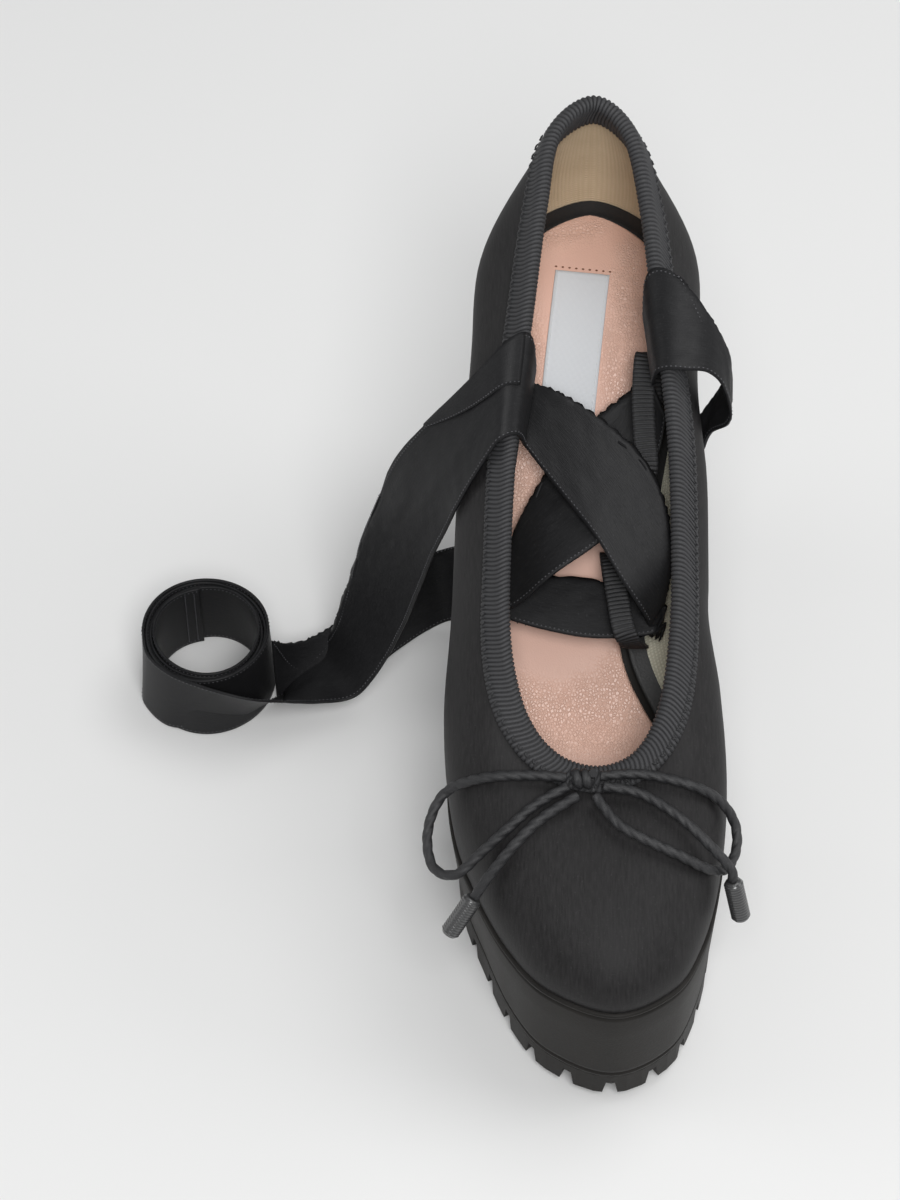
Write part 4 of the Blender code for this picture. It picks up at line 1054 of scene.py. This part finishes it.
def closed_read(table, places):
    """Rows of a closed table read on a smooth curve at places counted in rows."""
    i = np.floor(places).astype(int)
    near = (table[(i + k) % len(table)] for k in (-1, 0, 1, 2))
    return curve_at((places - i)[:, None], *near)


profiles = [binding_profile(i / BINDING_TURNS) for i in range(LOOP_ROWS * BINDING_TURNS)]
base = np.array([[tuple(point) for point, away in ring] for ring in profiles])
aways = np.array([[tuple(away) for point, away in ring] for ring in profiles])
rim = base[:, OUTER_POINTS + OVER_POINTS // 2, :]
rim_steps = np.linalg.norm(np.roll(rim, -1, axis=0) - rim, axis=1)
rim_run = np.concatenate([[0.0], np.cumsum(rim_steps)])
rib_count = round(rim_run[-1] / RIB_PITCH)
ring_count = rib_count * RIB_RINGS
columns = base.shape[1]
rib_rise_and_shade_rows = np.abs(np.cos(np.pi * np.arange(ring_count) / RIB_RINGS))
binding = np.empty((ring_count, columns, 3))
for j in range(columns):
    bow = RIB_SLANT * (math.cos(math.pi * j / (columns - 1)) + 0.6 * math.cos(math.tau * j / 12))
    wanted = (np.arange(ring_count) / ring_count * rim_run[-1] + bow) % rim_run[-1]
    places = np.interp(wanted, rim_run, np.arange(len(rim_run)))
    rise = RIB_HEIGHT * (rib_rise_and_shade_rows - 0.5)
    away = closed_read(aways[:, j, :], places)
    away /= np.linalg.norm(away, axis=1)[:, None]
    binding[:, j, :] = closed_read(base[:, j, :], places) + away * rise[:, None]
binding_rows = [[Vector(point) for point in ring] for ring in binding]
binding_piece = shown("binding_tape", quads(binding_rows, along_closed=True), rib_paint,
                      ["topline_binding"], BINDING_THICKNESS)


def mark_rib_shade_and_highlight(piece, loop_shade_and_highlight):
    """Writes how high each point of a tape stands on its rib, 0 in a groove to 1: the mask of the tape's
    painted shade in the grooves and painted highlight on the crests.
    """
    marks = piece.data.attributes.new("rib", "FLOAT", "POINT")
    marks.data.foreach_set("value", loop_shade_and_highlight)


# The binding's rib heights also set its painted shade and painted highlight.
mark_rib_shade_and_highlight(binding_piece, np.repeat(rib_rise_and_shade_rows, columns).astype(np.float32))

zigzag_places = []
for k in range(0, ring_count, RIB_RINGS):
    after = binding_rows[(k + RIB_RINGS - 1) % ring_count]
    start, end = (binding_rows[k][1], after[2]) if k % 2 else (after[2], after[1])
    profile = np.interp(k / ring_count * rim_run[-1], rim_run, np.arange(len(rim_run)))
    away = Vector(aways[int(profile) % len(aways), 1])
    zigzag_places.append(((start + end) / 2 + away * ZIGZAG_LIFT, end - start, away))
zigzag_piece = stitching("binding_zigzag", zigzag_places, ZIGZAG_SIZE, rib_paint,
                         True)
mark_rib_shade_and_highlight(zigzag_piece, np.full(len(zigzag_piece.data.vertices), ZIGZAG_SHADE_LEVEL, np.float32))

# Tape loops: short lengths of the same tape sewn in at the insole's edge, which hold the
# ribbon of the lacing. Their routes are in the shares of bed_point.
LOOP_WIDTH = 0.0065
LOOP_COLUMNS = 8
LOOP_THICKNESS = 0.0006
LOOP_RINGS = 4
LOOP_RIB_HEIGHT = 0.00022

LOOP_ROUTES = {
    "loop_medial_front": (
        (0.508, 0.196, 0.060), (0.539, 0.180, 0.555), (0.544, 0.137, 0.845),
        (0.496, 0.111, 0.701), (0.454, 0.097, 0.499), (0.434, 0.092, 0.301),
        (0.447, 0.101, 0.250), (0.483, 0.121, 0.284), (0.514, 0.160, 0.272),
        (0.513, 0.185, 0.160), (0.506, 0.192, 0.060),
    ),
    "loop_lateral_front": (
        (0.537, -0.359, 0.116), (0.545, -0.361, 0.646), (0.535, -0.349, 0.940),
        (0.489, -0.336, 0.879), (0.445, -0.330, 0.708), (0.417, -0.333, 0.426),
        (0.424, -0.341, 0.235), (0.452, -0.351, 0.201), (0.485, -0.359, 0.223),
        (0.513, -0.361, 0.219), (0.526, -0.361, 0.136),
    ),
    "loop_medial_back": (
        (0.377, 0.138, 0.199), (0.392, 0.183, 0.554), (0.384, 0.213, 0.784),
        (0.348, 0.205, 0.747), (0.306, 0.201, 0.653), (0.264, 0.210, 0.565),
        (0.251, 0.225, 0.450), (0.271, 0.233, 0.331), (0.310, 0.238, 0.245),
        (0.347, 0.213, 0.223), (0.359, 0.151, 0.176),
    ),
    "loop_lateral_back": (
        (0.367, -0.308, 0.210), (0.365, -0.295, 0.508), (0.355, -0.284, 0.691),
        (0.314, -0.262, 0.724), (0.277, -0.254, 0.628), (0.264, -0.259, 0.490),
        (0.284, -0.271, 0.395), (0.319, -0.289, 0.391), (0.345, -0.307, 0.271),
        (0.354, -0.314, 0.186),
    ),
}

for name, route in LOOP_ROUTES.items():
    middle = [row[0] for row in even_rows([(bed_point(*row),) for row in route], RIB_PITCH / LOOP_RINGS)]
    rows, loop_shade_and_highlight = [], []
    for k, point in enumerate(middle):
        run = (middle[min(k + 1, len(middle) - 1)] - middle[max(k - 1, 0)]).normalized()
        side = (Vector((1, 0, 0)) - run * run.x).normalized()
        face = run.cross(side)
        row = []
        for j in range(LOOP_COLUMNS + 1):
            share = j / LOOP_COLUMNS - 0.5
            phase = math.tau * (k / LOOP_RINGS + 0.5 * share * share)
            row.append(point + side * share * LOOP_WIDTH + face * LOOP_RIB_HEIGHT * math.cos(phase))
            # Height on the rib, kept as the mask of the loop's painted shade and painted highlight
            loop_shade_and_highlight.append(0.5 + 0.5 * math.cos(phase))
        rows.append(row)
    tape = shown(name.replace("loop_", "loop_tape_"), quads(rows), rib_paint,
                 [name], LOOP_THICKNESS)
    mark_rib_shade_and_highlight(tape, np.array(loop_shade_and_highlight, np.float32))

# Platform, shank and heel seat: one moulded wedge of matt black rubber, with a lip and a
# groove under the upper and a second groove over the lugs. Lugs and heel keep their shape.
rubber_paint = Paint("moulded_rubber", (0.016, 0.015, 0.014), 0.50, Specular_IOR_Level=0.18)
skin = rubber_paint.cloud(1400.0, detail=3.0)
scuffs = rubber_paint.cloud((120.0, 120.0, 60.0), detail=3.0)
rubber_paint.feed("Base Color", rubber_paint.mixed(
    scuffs, (0.010, 0.0093, 0.0087, 1), (0.024, 0.022, 0.020, 1)))
rubber_paint.feed("Roughness", 0.42 + skin * 0.12 + scuffs * 0.12)
rubber_paint.bump(skin, 0.00005)

SOLE_TURNS = 8
SOLE_SHARES = (0.35, 0.65)

# The side's lip and grooves: how far down from the top face, or up from the underside, and in
SOLE_PROFILE = (
    (0.0000, 0.0060), (0.0000, 0.0006), (0.0003, 0.0000), (0.0010, 0.0000),
    (0.0015, 0.0003), (0.0017, 0.0010), (0.0023, 0.0010), (0.0026, 0.0002),
    (0.0034, 0.0000),
)
SOLE_FOOT = (
    (0.0034, 0.0000), (0.0024, 0.0000), (0.0021, 0.0006), (0.0014, 0.0006),
    (0.0011, 0.0000), (0.0000, 0.0000), (0.0000, 0.0060),
)


def sole_column(turn):
    """The sole's side at one place, from its top face down to its underside."""
    top_rim = rim_point(turn, LEDGE)
    foot_rim = rim_point(turn, LEDGE - taper_at(turn))
    away = outward(foot_point, turn)
    top = sole_top(top_rim.y)
    under = sole_under(foot_rim.y)
    column = []
    for drop, inset in SOLE_PROFILE:
        share = drop / (top - under)
        point = top_rim.lerp(foot_rim, share) - away * inset
        column.append(Vector((point.x, point.y, top - drop)))
    for share in SOLE_SHARES:
        point = top_rim.lerp(foot_rim, share)
        column.append(Vector((point.x, point.y, top + (under - top) * share)))
    for rise, inset in SOLE_FOOT:
        point = foot_rim - away * inset
        column.append(Vector((point.x, point.y, under + rise)))
    return column


sole_columns = [sole_column(i / SOLE_TURNS) for i in range(LOOP_ROWS * SOLE_TURNS)]
sole_body = quads(sole_columns, along_closed=True)
sole_body.verts.ensure_lookup_table()
ring = len(sole_columns[0])
total = len(sole_columns)
for level in (0, ring - 1):
    for k in range(total // 2):
        corners = list(dict.fromkeys([k, k + 1, (total - k - 1) % total, (total - k) % total]))
        if len(corners) > 2:
            sole_body.faces.new([sole_body.verts[c * ring + level] for c in corners]).smooth = False
shown("platform_moulding", sole_body, rubber_paint, ["platform_sole"])
for name in ("tread_forefoot", "heel_block", "tread_heel"):
    for material_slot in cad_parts[name].material_slots:
        material_slot.material = rubber_paint.material

# Insole: a padded sock of nude pink leather, creased with wrinkles at the ball and
# round the heel, and pebbled where it is pressed. A black strip hides its edge at the wall.
INSOLE_INSET = 0.0030
INSOLE_COLUMNS = 56
INSOLE_STATIONS = 12
INSOLE_SKIRT = 2
SKIRT_DROP = 0.0012
EDGE_ROUNDING = 0.0010
EDGE_ROUNDING_WIDTH = 0.0014
PADDING_DEPTH = 0.00035
PRESS_AND_HIGHLIGHT_REACH = 0.0055
PRESSED_RISE = 0.00012
CREASE_WANDER = 0.0009

# Creases, a row each: from x, y to x, y, then the depth and the half width
CREASES = (
    (-0.026, -0.013, 0.004, -0.018, 0.00032, 0.0012),
    (-0.020, -0.017, 0.014, -0.020, 0.00028, 0.0010),
    (-0.024, -0.021, -0.002, -0.023, 0.00025, 0.0011),
    (0.000, -0.014, 0.017, -0.011, 0.00028, 0.0011),
    (0.004, -0.019, 0.020, -0.016, 0.00026, 0.0010),
    (-0.010, -0.025, 0.014, -0.026, 0.00024, 0.0012),
    (0.012, -0.006, 0.019, -0.017, 0.00030, 0.0010),
    (0.009, -0.009, 0.016, -0.019, 0.00022, 0.0009),
    (-0.021, 0.094, -0.015, 0.066, 0.00028, 0.0013),
    (-0.019, 0.080, -0.016, 0.056, 0.00026, 0.0012),
    (-0.016, 0.100, 0.004, 0.104, 0.00022, 0.0014),
    (0.014, 0.096, 0.019, 0.070, 0.00028, 0.0013),
    (0.011, 0.086, 0.015, 0.052, 0.00024, 0.0012),
    (0.008, 0.070, 0.012, 0.040, 0.00024, 0.0011),
    (-0.020, 0.050, -0.017, 0.020, 0.00022, 0.0012),
    (-0.012, 0.034, 0.010, 0.030, 0.00020, 0.0013),
)

leather_paint = Paint("insole_leather_grain", (0.66, 0.36, 0.27), 0.42, Specular_IOR_Level=0.5)
tone = leather_paint.cloud(40.0, detail=3.0)
pebbles_node = leather_paint.node(
    "ShaderNodeTexVoronoi", {"feature": "DISTANCE_TO_EDGE"},
    {"Vector": leather_paint.place((1150.0, 950.0, 950.0)), "Scale": 1.0},
)
pebbles = leather_paint.ramp(Term(leather_paint, pebbles_node.outputs["Distance"]), 0.0, 0.22)
fine = leather_paint.cloud(2600.0, detail=3.0)
pressed_and_highlight_node = leather_paint.node("ShaderNodeAttribute", {"attribute_name": "pressed_and_highlight"}, {})
pressed_and_highlight = Term(leather_paint, pressed_and_highlight_node.outputs["Fac"])
# The leather is painted lighter where the creases pressed it: a painted highlight on the creased zones.
# Its lower roughness and pebbling there are real.
leather_paint.feed("Base Color", leather_paint.mixed(
    tone * 0.7 + pressed_and_highlight * 0.3, (0.73, 0.43, 0.335, 1), (0.85, 0.565, 0.455, 1)))
leather_paint.feed("Roughness", 0.46 - pressed_and_highlight * 0.16 + fine * 0.08)
leather_paint.bump(pebbles * pressed_and_highlight * 0.8 + fine * 0.25, 0.00020)


def crease_at(x, y):
    """How deep the creases go at a place, and how much they have pressed it."""
    depth = press_and_highlight = 0.0
    for x0, y0, x1, y1, deep, half in CREASES:
        run = Vector((x1 - x0, y1 - y0))
        share = max(0.0, min(1.0, (Vector((x - x0, y - y0)).dot(run)) / run.length_squared))
        off = Vector((x, y)) - Vector((x0, y0)) - run * share
        wander = CREASE_WANDER * noise.noise(Vector((x * 260, y * 260, x0 * 900)))
        gap = (off.length + wander) / half
        depth += deep * math.exp(-gap * gap) * (0.4 + 0.6 * math.sin(math.pi * share))
        # The pressed share also masks the insole's painted highlight.
        press_and_highlight = max(press_and_highlight, math.exp(-(off.length / PRESS_AND_HIGHLIGHT_REACH) ** 2))
    return depth, press_and_highlight


def insole_rise(x, y):
    """The insole's padded top over the sole at a place."""
    depth, press_and_highlight = crease_at(x, y)
    soft = PADDING_DEPTH * noise.noise(Vector((x * 60, y * 60, 4.0)))
    return INSOLE_TOP + soft - depth + PRESSED_RISE * press_and_highlight, press_and_highlight


insole_rows, pressed_and_highlight_rows = [], []
for k in range(1, LAST_ROW * INSOLE_STATIONS):
    row_place = k / INSOLE_STATIONS
    left = rim_point(LOOP_ROWS - row_place, -INSOLE_INSET)
    right = rim_point(row_place, -INSOLE_INSET)
    row, presses_and_highlights = [], []
    for j in range(-INSOLE_SKIRT, INSOLE_COLUMNS + INSOLE_SKIRT + 1):
        share = max(0.0, min(1.0, j / INSOLE_COLUMNS))
        point = left.lerp(right, share)
        rise, press_and_highlight = insole_rise(point.x, point.y)
        edge = min(share, 1.0 - share) * (right - left).length
        rounding = EDGE_ROUNDING * max(0.0, 1.0 - edge / EDGE_ROUNDING_WIDTH) ** 2
        drop = SKIRT_DROP * max(0, -j, j - INSOLE_COLUMNS)
        row.append(Vector((point.x, point.y, sole_top(point.y) + rise - rounding - drop)))
        presses_and_highlights.append(press_and_highlight)
    insole_rows.append(row)
    pressed_and_highlight_rows.extend(presses_and_highlights)
insole = shown("insole_sock", quads(insole_rows), leather_paint, ["insole"])
# Pressed share at each point, which is also the mask of the insole's painted highlight
pressed_and_highlight_map = insole.data.attributes.new("pressed_and_highlight", "FLOAT", "POINT")
pressed_and_highlight_map.data.foreach_set("value", pressed_and_highlight_rows)

STRIP_HEIGHT = 0.0026
STRIP_POINTS = 6
STRIP_OVERLAP = 0.0014
STRIP_STAND = 0.0003
STRIP_BULGE = 0.0007

strip_paint = Paint("edge_strip", (0.012, 0.012, 0.012), 0.55)
strip_grain = strip_paint.cloud(1800.0)
strip_paint.feed("Roughness", 0.45 + strip_grain * 0.2)
strip_paint.bump(strip_grain, 0.0001)
strip_rows = []
for i in range(LOOP_ROWS * UPPER_TURNS):
    turn = i / UPPER_TURNS
    shares = np.linspace(0.0, 0.6, 30)
    run = lengths([wall_point(turn, share) for share in shares])
    tall = float(np.interp(INSOLE_TOP + STRIP_HEIGHT, run, shares))
    row = [wall_offset(turn, 0.0, UPPER_WALL + STRIP_OVERLAP)]
    for k in range(STRIP_POINTS):
        lift = STRIP_STAND + STRIP_BULGE * math.cos(math.pi * k / 10)
        row.append(wall_offset(turn, tall * (k + 0.2) / (STRIP_POINTS - 0.8), UPPER_WALL + lift))
    strip_rows.append(row)
shown("edge_strip_tape", quads(strip_rows, along_closed=True), strip_paint)

# Label: a blank white woven tape sewn to the insole, with a row of stitch holes past its end.
LABEL_WIDTH = 0.0160
LABEL_LENGTH = 0.0480
LABEL_AHEAD = 0.0500
LABEL_TURN = math.radians(7)
LABEL_LIFT = 0.00042
LABEL_THICKNESS = 0.0003
LABEL_ROWS = 48
LABEL_COLUMNS = 16
SEAM_DIP = 0.00018
END_DIP = 0.0002
EDGE_STITCHES = 30
EDGE_STITCH_INSET = 0.0009
EDGE_STITCH_LIFT = 0.00012
EDGE_STITCH_SIZE = (0.0011, 0.00035, 0.0003)
HOLE_COUNT = 9
HOLE_AHEAD = 0.0014
HOLE_LIFT = 0.00002
HOLE_SIZE = (0.0009, 0.0007, 0.0003)

label_paint = Paint("label_weave", (0.82, 0.84, 0.86), 0.6)
label_threads = label_paint.bands((900.0, 1.0, 1.0), "X")
label_rows_across = label_paint.bands((1.0, 900.0, 1.0), "Y")
label_paint.feed("Base Color", label_paint.mixed(
    label_threads * label_rows_across, (0.72, 0.74, 0.77, 1), (0.86, 0.875, 0.89, 1)))
label_paint.bump(label_threads * label_rows_across, 0.00008)
label_along = Vector((-math.sin(LABEL_TURN), -math.cos(LABEL_TURN), 0.0))
label_across = Vector((label_along.y, -label_along.x, 0.0))
label_back = Vector((0.0, LENGTH / 2 - LABEL_AHEAD + LABEL_LENGTH / 2, 0.0))


def on_insole(along, across, lift):
    """A place over the insole's top, measured along and across the label."""
    point = label_back + label_along * along + label_across * across
    return Vector((point.x, point.y, sole_top(point.y) + insole_rise(point.x, point.y)[0] + lift))


label_rows = []
for i in range(LABEL_ROWS + 1):
    along = LABEL_LENGTH * i / LABEL_ROWS
    row = []
    for j in range(LABEL_COLUMNS + 1):
        across = LABEL_WIDTH * (j / LABEL_COLUMNS - 0.5)
        dip = SEAM_DIP * (j in (1, LABEL_COLUMNS - 1)) + END_DIP * (i in (1, LABEL_ROWS - 1))
        row.append(on_insole(along, across, LABEL_LIFT - dip))
    label_rows.append(row)
shown("label_tape", quads(label_rows), label_paint, ["insole_label"], LABEL_THICKNESS)

label_thread_paint = Paint("label_thread", (0.78, 0.79, 0.80), 0.6)
edge_places = []
for across in (EDGE_STITCH_INSET - LABEL_WIDTH / 2, LABEL_WIDTH / 2 - EDGE_STITCH_INSET):
    for k in range(EDGE_STITCHES):
        along = LABEL_LENGTH * (k + 0.5) / EDGE_STITCHES
        point = on_insole(along, across, LABEL_LIFT + EDGE_STITCH_LIFT)
        edge_places.append((point, label_along, UP))
stitching("label_edge_stitches", edge_places, EDGE_STITCH_SIZE, label_thread_paint)

hole_paint = Paint("stitch_hole", (0.16, 0.055, 0.02), 0.7)
hole_places = []
for k in range(HOLE_COUNT):
    point = on_insole(-HOLE_AHEAD, LABEL_WIDTH * (k / (HOLE_COUNT - 1) - 0.5), HOLE_LIFT)
    hole_places.append((point, label_across, UP))
stitching("label_stitch_holes", hole_places, HOLE_SIZE, hole_paint)
